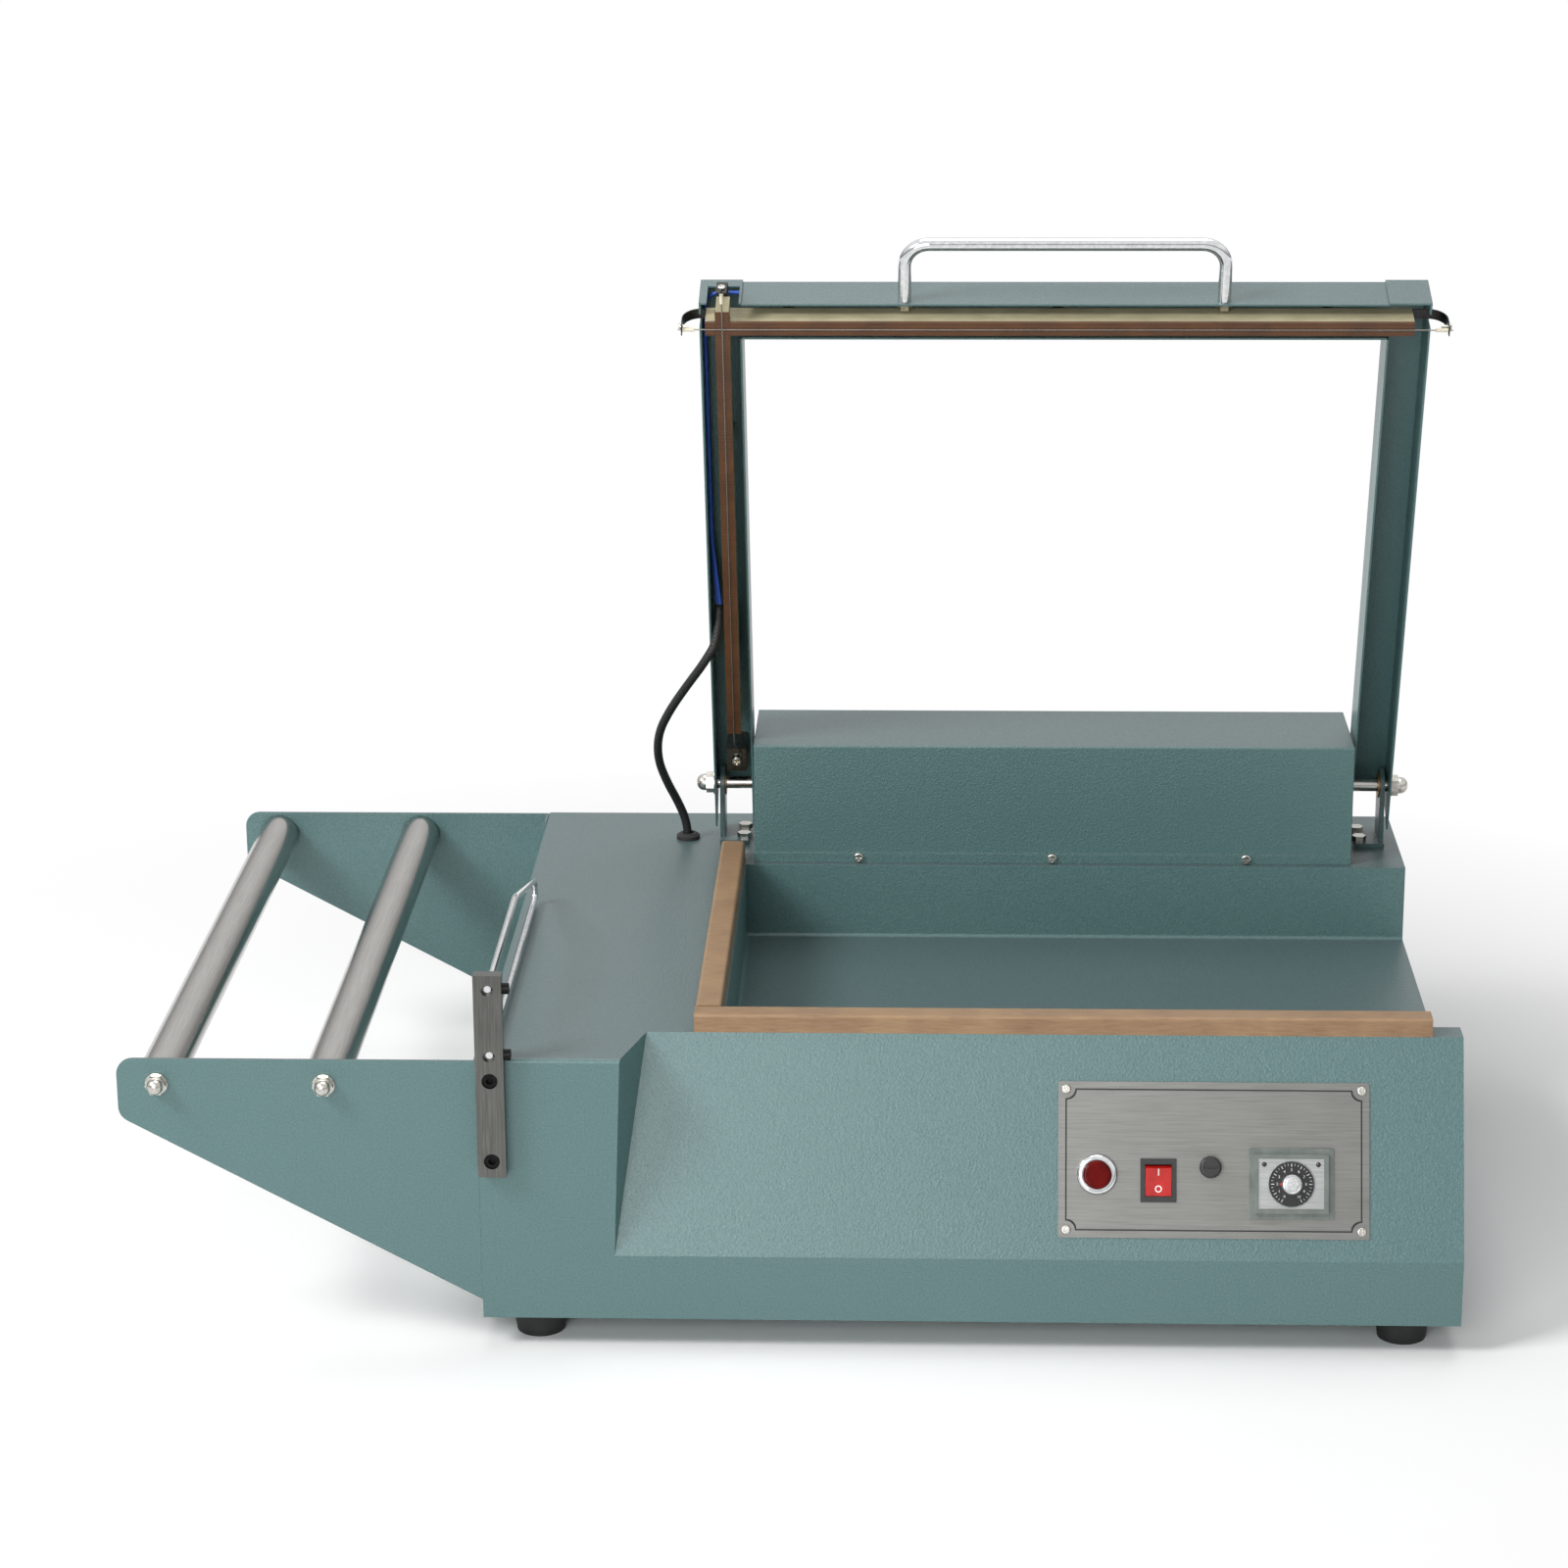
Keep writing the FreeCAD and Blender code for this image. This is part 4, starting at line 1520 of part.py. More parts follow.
def make_handle():
    """Bend the handle, with a stud at each foot through the front channel's wall."""
    front = -number("bar_front")
    drop = -number("handle_drop")
    out = front - number("handle_standoff - handle_rod / 2")
    left, right = [number(x) for x in HANDLE_LEGS]
    bend = number("handle_bend + handle_rod / 2")
    grip = rod([V(left, front, drop), V(left, out, drop), V(right, out, drop),
                V(right, front, drop)], [bend, bend], number("handle_rod"))
    reach = number("channel_wall + handle_nut_height + 1")
    for x in (left, right):
        grip = grip.fuse(Part.makeCylinder(number("handle_stud") / 2, reach, V(x, front, drop),
                                           V(0, 1, 0)))
    feature("arm_handle", grip.Solids[0], "arm")


def make_boards():
    """Cut the two sealing boards with a half lap where they cross, and tape their lower edges."""
    half = "board_thick / 2"
    middle = "(board_bottom - board_height / 2)"
    front_edge = "-wire_along - " + half
    lap = "(tape_thick + lap_gap)"
    hole = "board_screw_size / 2 + thread_gap"
    pilot = "leaf_screw_size / 2 + thread_gap"

    front = Piece("seal_board_front")
    front.add("XY_Plane", "-board_bottom", "board_height",
              [box("front_board_left", front_edge, "front_board_right", "-wire_along + " + half)])
    front.cut("XZ_Plane", front_edge, "board_thick",
              [box("left_board_x - %s - %s" % (half, lap), "-board_bottom",
                   "left_board_x + %s + %s" % (half, lap), "-" + middle)])
    front.cut("XY_Plane", "-board_top - board_screw_bite", "board_screw_bite",
              circles=[(x, "-wire_along", hole) for x in FRONT_POSTS])
    front.cut("XY_Plane", "-board_top - leaf_screw_bite", "leaf_screw_bite", circles=[
        ("front_board_left + leaf_seat / 2", "-wire_along", pilot),
        ("front_board_right - leaf_seat", "-wire_along", pilot)])
    front.done("arm")

    left = Piece("seal_board_left")
    left.add("XY_Plane", "-board_bottom", "board_height",
             [box("left_board_x - " + half, "-left_board_end", "left_board_x + " + half,
                  "-left_board_start")])
    left.cut("YZ_Plane", "left_board_x - " + half, "board_thick",
             [box(front_edge + " - lap_gap", "-" + middle, "-wire_along + %s + lap_gap" % half,
                  "-board_top")])
    left.cut("XY_Plane", "-board_top - board_screw_bite", "board_screw_bite",
             circles=[(x, y, hole) for x, y in SIDE_POSTS])
    left.cut("XY_Plane", "-board_top - leaf_screw_bite", "leaf_screw_bite", circles=[
        ("left_board_x", "-left_board_end + leaf_seat / 2", pilot)])
    left.done("arm")

    groups = []
    side = "(%s + tape_thick)" % half
    gap_low = "left_board_x - %s - lap_gap" % side
    gap_high = "left_board_x + %s + lap_gap" % side
    runs = [("left", "left_board_x - ", "left_board_x + ", "-left_board_end", "-left_board_start"),
            ("near", "front_board_left", gap_low, "-wire_along - ", "-wire_along + "),
            ("far", gap_high, "front_board_right", "-wire_along - ", "-wire_along + ")]
    for name, x_low, x_high, y_low, y_high in runs:
        along_y = name == "left"
        tape = Piece("seal_tape_" + name)
        for verb, grow in (("add", side), ("cut", half)):
            limits = [x_low + grow, y_low, x_high + grow, y_high] if along_y else [
                x_low, y_low + grow, x_high, y_high + grow]
            getattr(tape, verb)("XY_Plane", {"add": "-board_bottom - tape_thick",
                                             "cut": "-board_bottom"}[verb],
                                {"add": "tape_lap + tape_thick", "cut": "tape_lap"}[verb],
                                [box(*limits)])
        groups.append((tape, [at("0", "0", "0")]))
    copies("seal_tapes", "arm", *groups)


def make_posts():
    """Hang the boards from the channels' webs on posts, with their screws and the handle's nuts."""
    groups = []
    hole = "board_screw_size / 2 + thread_gap"
    for name, top in (("side", "web_under"), ("front", "bar_top - channel_wall")):
        post = Piece("board_post_" + name)
        post.add("XY_Plane", "-board_top", "board_top + " + top, circles=[("0", "0", "post_size / 2")])
        post.cut("XY_Plane", "-board_top", "board_top + " + top, circles=[("0", "0", hole)])
        places = SIDE_POSTS if name == "side" else [
            (x, "-wire_along") for x in FRONT_POSTS]
        groups.append((post, [at(x, y, "0") for x, y in places]))
    block = Piece("anchor_block")
    low = "-anchor_block_drop"
    block.add("XY_Plane", low, "anchor_block_drop + web_under",
              [box("left_board_x - anchor_block_width / 2",
                   "-anchor_block_start - anchor_block_length",
                   "left_board_x + anchor_block_width / 2", "-anchor_block_start")])
    block.cut("XY_Plane", low, "anchor_block_drop + web_under / 2",
              circles=[("left_board_x", "-anchor_along", hole)])
    groups.append((block, [at("0", "0", "0")]))
    copies("board_posts", "arm", *groups)

    masters = []
    for name, seat in (("side", "web_rise"), ("front", "bar_top")):
        masters.append(screw("board_screw_" + name, "board_screw_size", "board_screw_size * 2",
                             "board_screw_size * 0.6", seat + " + board_top + board_screw_bite - 1"))
    nut = Piece("handle_nut")
    nut.add("XZ_Plane", "0", "handle_nut_height", [hexagon("0", "0", "handle_nut")])
    nut.cut("XZ_Plane", "0", "handle_nut_height", circles=[("0", "0", "handle_stud / 2 + thread_gap")])
    copies("arm_fixings", "arm",
           (masters[0], [at(x, y, "web_rise") for x, y in SIDE_POSTS]),
           (masters[1], [at(x, "-wire_along", "bar_top") for x in FRONT_POSTS]),
           (nut, [at(x, "-bar_front + channel_wall", "-handle_drop") for x in HANDLE_LEGS]))


def make_leaves():
    """Bend the three leaf springs and screw them to the boards' ends."""
    top = "(leaf_thick - board_top)"
    tip_low = "(-board_top - leaf_drop)"
    masters = []
    for name, reach, seat in (("short", "leaf_reach", "leaf_seat"),
                              ("long", "leaf_reach_right", "2 * leaf_seat")):
        leaf = Piece("wire_spring_" + name)
        leaf.add("XZ_Plane", "-leaf_width / 2", "leaf_width",
                 [[(seat, "-board_top"), (seat, top), ("-" + reach, top), ("-" + reach, tip_low),
                   ("leaf_thick - " + reach, tip_low), ("leaf_thick - " + reach, "-board_top")]])
        leaf.round("leaf_bend", leaf.edges("y", x="leaf_thick - " + reach, z="-board_top"))
        leaf.round("leaf_bend + leaf_thick", leaf.edges("y", x="-" + reach, z=top))
        leaf.cut("XY_Plane", "-board_top", "leaf_thick",
                 circles=[("%s / 2" % seat, "0", "leaf_screw_size / 2 + thread_gap")])
        leaf.cut("YZ_Plane", "-" + reach, "leaf_thick",
                 circles=[("0", "-board_top - leaf_screw_drop", "leaf_screw_size / 2 + thread_gap"),
                          ("0", "-wire_level", "leaf_hole / 2")])
        masters.append(leaf)
    turned = ((0, 0, 1), "180")
    quarter = ((0, 0, 1), "90")
    copies("wire_springs", "arm",
           (masters[0], [at("front_board_left", "-wire_along", "0"),
                         at("left_board_x", "-left_board_end", "0", quarter)]),
           (masters[1], [at("front_board_right", "-wire_along", "0", turned)]))

    bolt = screw("leaf_screw", "leaf_screw_size", "leaf_screw_size * 2", "leaf_screw_size * 0.6",
                 "leaf_thick + leaf_screw_bite - 1")
    anchor = screw("anchor_screw", "board_screw_size", "board_screw_size * 2",
                   "board_screw_size * 0.6", "board_screw_bite")
    tip_z = "-board_top - leaf_screw_drop"
    copies("wire_screws", "arm", (bolt, [
        at("front_board_left - leaf_reach", "-wire_along", tip_z, LEFT),
        at("front_board_right + leaf_reach_right", "-wire_along", tip_z, RIGHT),
        at("left_board_x", "-left_board_end - leaf_reach", tip_z, FRONT),
        at("front_board_left + leaf_seat / 2", "-wire_along", top),
        at("front_board_right - leaf_seat", "-wire_along", top),
        at("left_board_x", "-left_board_end + leaf_seat / 2", top)]),
           (anchor, [at("left_board_x", "-anchor_along", "-anchor_block_drop - anchor_lift", DOWN)]))

    sleeve = Piece("wire_sleeve")
    sleeve.add("XY_Plane", "0", "sleeve_length", circles=[("0", "0", "sleeve_size / 2")])
    sleeve.cut("XY_Plane", "0", "sleeve_length", circles=[("0", "0", "wire_size / 2 + running_gap")])
    inset = "leaf_thick + panel_gap"
    copies("wire_sleeves", "arm", (sleeve, [
        at("front_board_left - leaf_reach + " + inset, "-wire_along", "-wire_level", RIGHT),
        at("front_board_right + leaf_reach_right - leaf_thick - panel_gap", "-wire_along",
           "-wire_level", LEFT),
        at("left_board_x", "-left_board_end - leaf_reach + " + inset, "-wire_level", BACK)]))


def make_wires():
    """Stretch the cutting wires under the boards and lay the arm's supply wires."""
    size = number("wire_size")
    level = -number("wire_level")
    across = -number("wire_along")
    x = number("left_board_x")
    end = number("wire_end")
    beside = x + number("board_screw_size / 2 + thread_gap + wire_size")
    anchor = -number("anchor_along")
    hook = -number("anchor_block_drop + anchor_lift / 2")
    bend = number("wire_bend")
    left = rod([V(x, -number("left_board_end + leaf_reach") - end, level),
                V(x, 10 - number("left_board_start"), level), V(beside, anchor - 8, hook),
                V(beside, anchor + 4, hook)], [bend, bend], size)
    near = number("front_board_left - leaf_reach") - end
    far = number("front_board_right + leaf_reach_right") + end
    gap = size / 2 + number("lap_gap")
    shapes = [left]
    for low, high in ((near, x - gap), (x + gap, far)):
        shapes.append(Part.makeCylinder(size / 2, high - low, V(low, across, level), V(1, 0, 0)))
    feature("cutting_wires", Part.makeCompound(shapes), "arm")

    size = number("arm_wire_size")
    x = number("arm_wire_x")
    lift = number("arm_wire_level")
    across = -number("arm_wire_along")
    far = number("arm_right - channel_width / 2")
    start = number("loom_end_x")
    first = rod([V(start - 1.3, -179, -6.8), V(x, -215, lift), V(x, across, lift),
                 V(far, across, lift), V(far, across, lift - 10)], [60, 12, 5], size)
    seat = number("front_board_left + leaf_seat / 2")
    second = rod([V(start + 1.1, -181, -11), V(x, -235, lift - 5), V(x, -420, lift - 5),
                  V(seat - 4, -432, lift - 5)], [80, 30], size)
    feature("arm_wires", Part.makeCompound([first, second]), "arm")


def make_shaft():
    """Join the two side channels with the hinge shaft, its nuts and its spring levers."""
    shaft = Piece("hinge_shaft")
    shaft.add("YZ_Plane", "arm_left - shaft_reach * 0.7", "arm_width + shaft_reach * 1.4",
              circles=[("0", "0", "shaft_size / 2")])
    shaft.done("arm")
    nut = acorn_nut("shaft_nut_master", "shaft_nut_width", "shaft_nut_hex", "shaft_nut_dome",
                    "(shaft_size + 2 * thread_gap)", "shaft_washer")
    copies("shaft_nuts", "arm", (nut, [at("arm_left", "0", "0", LEFT),
                                       at("arm_right", "0", "0", RIGHT)]))
    lever = Piece("crank_lever")
    lever.add("YZ_Plane", "-hub_length / 2", "hub_length", circles=[("0", "0", "hub_size / 2")])
    lever.add("YZ_Plane", "-lever_thick / 2", "lever_thick",
              [box("-lever_width / 2", "0", "lever_width / 2", "lever_reach")])
    lever.add("YZ_Plane", "-lever_thick / 2", "lever_thick",
              circles=[("0", "lever_reach", "lever_width / 2")])
    lever.cut("YZ_Plane", "-hub_length / 2", "hub_length",
              circles=[("0", "0", "shaft_size / 2"), ("0", "lever_reach", "lever_eye / 2")])
    copies("crank_levers", "arm", (lever, [at("lever_left", "0", "0"), at("lever_right", "0", "0")]))


def build():
    """Build every sub-part, check it and write it."""
    for make in (make_casing, make_tray, make_bottom, make_pads, make_cover, make_hinge_carriers,
                 make_springs, make_limit_switch, make_cradle, make_guide, make_panel,
                 make_controls, make_loom, make_inside, make_arm_frame, make_handle, make_boards,
                 make_posts, make_leaves, make_wires, make_shaft):
        make()
    doc.recompute()
    for item in doc.Objects:
        if "Invalid" in item.State or "Error" in item.State:
            raise RuntimeError("%s did not build" % item.Label)
    os.makedirs("parts", exist_ok=True)
    whole = FreeCAD.BoundBox()
    for label, item in PIECES:
        if item.Shape.isNull() or not item.Shape.isValid():
            raise RuntimeError("%s has no valid shape" % label)
        item.Shape.exportStep("parts/%s.step" % label)
        whole.add(item.Shape.BoundBox)
    print(len(PIECES), "sub-parts;", whole)


if __name__ == "__main__":
    build()
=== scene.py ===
"""Looks of a manual L-bar film sealer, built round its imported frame: finishes, panel detail, loom and studio."""

import json
import logging
import math
from collections.abc import Iterable
from dataclasses import dataclass
from enum import Enum

import bmesh
import bpy
from mathutils import Matrix, Vector

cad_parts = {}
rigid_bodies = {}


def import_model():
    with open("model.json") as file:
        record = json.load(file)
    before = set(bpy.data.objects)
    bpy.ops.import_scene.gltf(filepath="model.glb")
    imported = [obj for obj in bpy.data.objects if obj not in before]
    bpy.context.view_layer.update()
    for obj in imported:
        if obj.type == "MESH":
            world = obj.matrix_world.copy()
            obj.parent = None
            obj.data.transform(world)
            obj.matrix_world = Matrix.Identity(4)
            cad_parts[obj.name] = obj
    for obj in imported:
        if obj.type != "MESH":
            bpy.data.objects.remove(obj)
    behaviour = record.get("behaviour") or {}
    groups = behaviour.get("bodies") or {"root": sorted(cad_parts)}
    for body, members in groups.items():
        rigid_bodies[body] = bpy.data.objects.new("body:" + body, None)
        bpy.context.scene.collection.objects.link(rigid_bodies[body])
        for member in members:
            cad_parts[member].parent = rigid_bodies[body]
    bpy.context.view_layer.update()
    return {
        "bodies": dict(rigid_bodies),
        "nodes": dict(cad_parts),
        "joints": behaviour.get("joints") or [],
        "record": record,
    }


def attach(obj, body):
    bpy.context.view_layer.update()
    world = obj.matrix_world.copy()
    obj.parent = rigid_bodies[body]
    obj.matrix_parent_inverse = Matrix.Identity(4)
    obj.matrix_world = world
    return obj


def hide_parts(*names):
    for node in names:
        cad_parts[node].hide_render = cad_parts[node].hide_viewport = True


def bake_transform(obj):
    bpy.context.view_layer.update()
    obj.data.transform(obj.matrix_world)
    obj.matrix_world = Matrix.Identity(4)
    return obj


LOG = logging.getLogger("film_sealer")
MM = 0.001
LEAN = math.radians(20.472)  # how far the control panel leans back
PANEL_FOOT = 72.0  # height of the leaning panel's zero line, in millimetres
CENTRE = Vector((0.2258, 0.285, 0.0))  # the frame's origin, from the casing's front left foot, in metres
WAVE = 314.0  # the bands of a wave texture repeat every 314 / scale millimetres
WHITE = (1.0, 1.0, 1.0, 1.0)

Input = float | tuple[float, ...] | Vector | bpy.types.NodeSocket
Faces = list[tuple[int, ...]]


class Coat(Enum):
    """How the enamel lies on the sheet metal under it."""

    OVER_BENDS = "hammer-tone enamel over bent edges"
    OVER_PANELS = "hammer-tone enamel over flat panels"


class Layers(Enum):
    """Which way the layers of a stack follow each other."""

    ALONG_Y = "Y"
    ALONG_Z = "Z"


def linear(code: str) -> tuple[float, float, float, float]:
    """Give the linear colour of an sRGB hex code such as 5F7E7C."""
    channels = [int(code[i:i + 2], 16) / 255 for i in (0, 2, 4)]
    return (*[c / 12.92 if c <= 0.04045 else ((c + 0.055) / 1.055) ** 2.4 for c in channels], 1.0)


def machine(x: float, y: float, z: float) -> Vector:
    """Give the frame point of a place measured from the casing's front left foot, in millimetres."""
    return Vector((x, y, z)) / 1000 - CENTRE


def panel(x: float, up: float, out: float) -> Vector:
    """Give the frame point of a place on the leaning control panel.

    Args:
        x: Distance from the casing's left end, in millimetres.
        up: Distance up the panel's slope.
        out: Distance out of the panel's face.

    Returns:
        The point in metres.
    """
    back = up * math.sin(LEAN) - out * math.cos(LEAN)
    return machine(x, back, PANEL_FOOT + up * math.cos(LEAN) + out * math.sin(LEAN))


def turns(count: int) -> list[float]:
    """Give the angles of equal steps round a circle."""
    return [step * math.tau / count for step in range(count)]


def bands(rings: int, count: int, wrap: bool = False) -> Faces:
    """Join neighbouring rings of points with four-sided faces.

    Args:
        rings: How many rings follow each other in the list of points.
        count: How many points each ring has.
        wrap: Whether the last ring joins the first.

    Returns:
        The point numbers of each face.
    """
    faces = []
    for ring in range(rings if wrap else rings - 1):
        low, high = ring * count, (ring + 1) % rings * count
        for step in range(count):
            after = (step + 1) % count
            faces.append((low + step, low + after, high + after, high + step))
    return faces


def capped(rings: int, count: int) -> Faces:
    """Join rings of points into a solid with a flat face at each end."""
    return bands(rings, count) + [tuple(range(count)), tuple(range((rings - 1) * count, rings * count))]


class Graph:
    """A node tree with a short way to add and join its nodes."""

    def __init__(self, tree: bpy.types.NodeTree) -> None:
        """Keep the tree that the nodes go into."""
        self.tree = tree

    def add(self, kind: str, settings: dict[str, object] | None = None, take: int | str = 0,
            **inputs: Input) -> bpy.types.NodeSocket:
        """Add a node with its settings and links.

        Args:
            kind: The node's type without the ShaderNode prefix.
            settings: Properties of the node itself.
            take: Which of its outputs to give.
            inputs: Values or sockets by input name, with underscores for spaces, or by i and a number.

        Returns:
            The chosen output.
        """
        node = self.tree.nodes.new("ShaderNode" + kind)
        for key, value in (settings or {}).items():
            setattr(node, key, value)
        for key, value in inputs.items():
            by_number = key[0] == "i" and key[1:].isdigit()
            self.put(node.inputs[int(key[1:]) if by_number else key.replace("_", " ")], value)
        return node.outputs[take]

    def put(self, socket: bpy.types.NodeSocket, value: Input) -> None:
        """Link a socket to another, or set its value.

        Args:
            socket: The input to fill.
            value: A value, or the output that feeds it.
        """
        if isinstance(value, bpy.types.NodeSocket):
            self.tree.links.new(value, socket)
        else:
            socket.default_value = value

    def place(self, stretch: tuple[float, float, float] = (1, 1, 1)) -> bpy.types.NodeSocket:
        """Give the piece's own coordinates in metres, stretched along its axes."""
        return self.add("Mapping", Vector=self.add("TexCoord", take="Object"), Scale=stretch)

    def grains(self, size: float, detail: float = 3, stretch: tuple[float, float, float] = (1, 1, 1),
               rough: float = 0.5) -> bpy.types.NodeSocket:
        """Scatter soft grains over the surface.

        Args:
            size: Distance from grain to grain, in millimetres.
            detail: How many finer layers lie in each grain.
            stretch: Scale along each axis; a small one draws the grains out into lines.
            rough: How strong the finer layers are.

        Returns:
            A value of 0 to 1.
        """
        return self.add("TexNoise", Vector=self.place(stretch), Scale=1000 / size, Detail=detail, Roughness=rough)

    def weigh(self, *parts: tuple[bpy.types.NodeSocket, float]) -> bpy.types.NodeSocket:
        """Add up patterns, each times its weight.

        Args:
            parts: Pairs of a pattern and its weight.

        Returns:
            The sum.
        """
        total = 0.0
        for pattern, weight in parts:
            total = self.add("Math", {"operation": "MULTIPLY_ADD"}, i0=pattern, i1=weight, i2=total)
        return total

    def tone(self, pattern: bpy.types.NodeSocket, low: float, high: float, dark: str,
             light: str) -> bpy.types.NodeSocket:
        """Spread two colours over a pattern.

        Args:
            pattern: The value that the colours follow.
            low: Value at and under which the dark colour is seen.
            high: Value at and over which the light colour is seen.
            dark: First colour, as an sRGB hex code.
            light: Second colour.

        Returns:
            The colour.
        """
        share = self.add("MapRange", Value=pattern, From_Min=low, From_Max=high)
        return self.add("MixRGB", Fac=share, Color1=linear(dark), Color2=linear(light))

    def seen(self, mirrored: Input = 1.0) -> bpy.types.NodeSocket:
        """Tell the rays of the eye, of mirrors and through glass from those that carry light.

        Args:
            mirrored: The share of the mirrors' rays that counts.

        Returns:
            A value of 1 for those rays and 0 for the others.
        """
        glossy = self.add("LightPath", take="Is Glossy Ray")
        rays = self.add("Math", {"operation": "MULTIPLY"}, i0=glossy, i1=mirrored)
        for kind in ("Is Camera Ray", "Is Transmission Ray"):
            rays = self.add("Math", {"operation": "MAXIMUM"}, i0=rays, i1=self.add("LightPath", take=kind))
        return rays


class Skin(Graph):
    """A material's graph, which ends in one principled shader."""

    def __init__(self, name: str) -> None:
        """Start an empty material.

        Args:
            name: The real material's name.
        """
        self.material = bpy.data.materials.new(name)
        self.material.use_nodes = True
        super().__init__(self.material.node_tree)
        self.shader = self.tree.nodes["Principled BSDF"]

    def finish(self, **sockets: Input) -> bpy.types.Material:
        """Fill the shader's sockets.

        Args:
            sockets: Values or sockets by input name, with underscores for spaces.

        Returns:
            The material.
        """
        for key, value in sockets.items():
            self.put(self.shader.inputs[key.replace("_", " ")], value)
        return self.material


@dataclass(frozen=True)
class HammerEnamel:
    """Stoved hammer-tone enamel on sheet steel: sprayed wet so that it draws into small dimples."""

    coat: Coat = Coat.OVER_BENDS
    dark: str = "4B6A6B"
    light: str = "587877"
    # Colours of faces that point up: a painted sheen, greyer than the rest.
    dark_top: str = "4D6062"
    light_top: str = "5A6D6E"
    dimple: float = 1.613  # millimetres from dimple to dimple
    depth: float = 0.26
    bend: float = 1.1  # radius of the folded edges, in millimetres

    def make(self) -> bpy.types.Material:
        """Mottle the colour, paint a greyer sheen on faces that lie flat, dimple the film and let small patches differ
        in gloss.

        Returns:
            The material.
        """
        skin = Skin(self.coat.value)
        dimples = skin.add("TexVoronoi", {"feature": "SMOOTH_F1"}, Vector=skin.place(), Scale=1000 / self.dimple,
                           Smoothness=0.7)
        grain = skin.grains(1.5, 4)
        mottle = skin.weigh((grain, 0.9), (skin.grains(110, 2), 0.1))
        # Painted sheen: faces that point up in the world get greyer colours, which stand in for the bright room seen
        # in the gloss.
        slope = skin.add("SeparateXYZ", take="Z", i0=skin.add("NewGeometry", take="Normal"))
        colour = skin.add(
            "MixRGB", Fac=skin.add("MapRange", Value=slope, From_Min=0.7, From_Max=0.98),
            Color1=skin.tone(mottle, 0.34, 0.66, self.dark, self.light),
            Color2=skin.tone(mottle, 0.34, 0.66, self.dark_top, self.light_top))
        height = skin.weigh((dimples, 1.0), (grain, 1.2))
        film = skin.add("Bump", Height=height, Distance=self.depth * MM, Strength=0.8)
        if self.coat is Coat.OVER_BENDS:
            edge = skin.add("Bevel", {"samples": 4}, Radius=self.bend * MM)
            skin.put(film.node.inputs["Normal"], edge)
        return skin.finish(
            Base_Color=colour, Roughness=skin.add("MapRange", Value=skin.grains(3.5), To_Min=0.3, To_Max=0.46),
            Normal=film, Coat_Weight=0.25, Coat_Roughness=0.3)


@dataclass(frozen=True)
class Metal:
    """Bare or plated metal with the marks of how it was worked; sizes are millimetres."""

    name: str
    dark: str
    light: str
    low: float
    high: float
    size: float = 2.0
    stretch: tuple[float, float, float] = (1, 1, 1)
    depth: float = 0.02

    def make(self) -> bpy.types.Material:
        """Draw the working marks into the colour, the gloss and the surface.

        Returns:
            The material.
        """
        skin = Skin(self.name)
        marks = skin.grains(self.size, 6, self.stretch, 0.6)
        mixed = skin.weigh((marks, 0.85), (skin.grains(30, 2), 0.15))
        return skin.finish(
            Base_Color=skin.tone(mixed, 0.3, 0.7, self.dark, self.light), Metallic=1.0,
            Roughness=skin.add("MapRange", Value=mixed, To_Min=self.low, To_Max=self.high),
            Normal=skin.add("Bump", Height=marks, Distance=self.depth * MM, Strength=0.5))


@dataclass(frozen=True)
class Moulding:
    """Moulded or printed plastic and rubber with the fine texture of its mould; sizes are millimetres."""

    name: str
    dark: str
    light: str
    low: float
    high: float
    clear: float = 0.0
    grain: float = 0.6
    depth: float = 0.03
    shine: float = 0.0
    gloss: float = 0.5

    def make(self) -> bpy.types.Material:
        """Give the moulded skin a fine grain, slight flow marks and its gloss.

        Returns:
            The material.
        """
        skin = Skin(self.name)
        grain = skin.grains(self.grain)
        mixed = skin.weigh((grain, 0.4), (skin.grains(8, 3, (1, 1, 0.4)), 0.6))
        return skin.finish(
            Base_Color=skin.tone(mixed, 0.32, 0.68, self.dark, self.light),
            Roughness=skin.add("MapRange", Value=mixed, To_Min=self.low, To_Max=self.high),
            Transmission_Weight=self.clear, Coat_Weight=self.shine, Coat_Roughness=0.06,
            Specular_IOR_Level=self.gloss,
            Normal=skin.add("Bump", Height=grain, Distance=self.depth * MM, Strength=0.5))


@dataclass(frozen=True)
class WovenTape:
    """Glass cloth coated with PTFE or rubber: the weave shows through the coat as a fine grid."""

    name: str
    dark: str
    light: str
    thread: float = 1.1  # millimetres; drawn coarser than real threads, so that they show
    soiled: float = 0.0

    def make(self) -> bpy.types.Material:
        """Cross two sets of threads, darken the gaps and lay scorched clouds over them.

        Returns:
            The material.
        """
        skin = Skin(self.name)
        warp, weft = (
            skin.add("TexWave", {"bands_direction": way}, take="Fac", Vector=skin.place(), Scale=WAVE / self.thread,
                     Distortion=0.6) for way in ("X", "Y"))
        weave = skin.add("Math", {"operation": "MULTIPLY"}, i0=warp, i1=weft)
        cloud = skin.grains(30, 4)
        mixed = skin.weigh((weave, 0.25), (skin.grains(1.6, 4, (0.12, 1, 1)), 0.35), (cloud, 0.4 + self.soiled))
        return skin.finish(
            Base_Color=skin.tone(mixed, 0.22, 0.62, self.dark, self.light),
            Roughness=skin.add("MapRange", Value=cloud, To_Min=0.36, To_Max=0.55),
            Normal=skin.add("Bump", Height=weave, Distance=0.05 * MM, Strength=0.6))


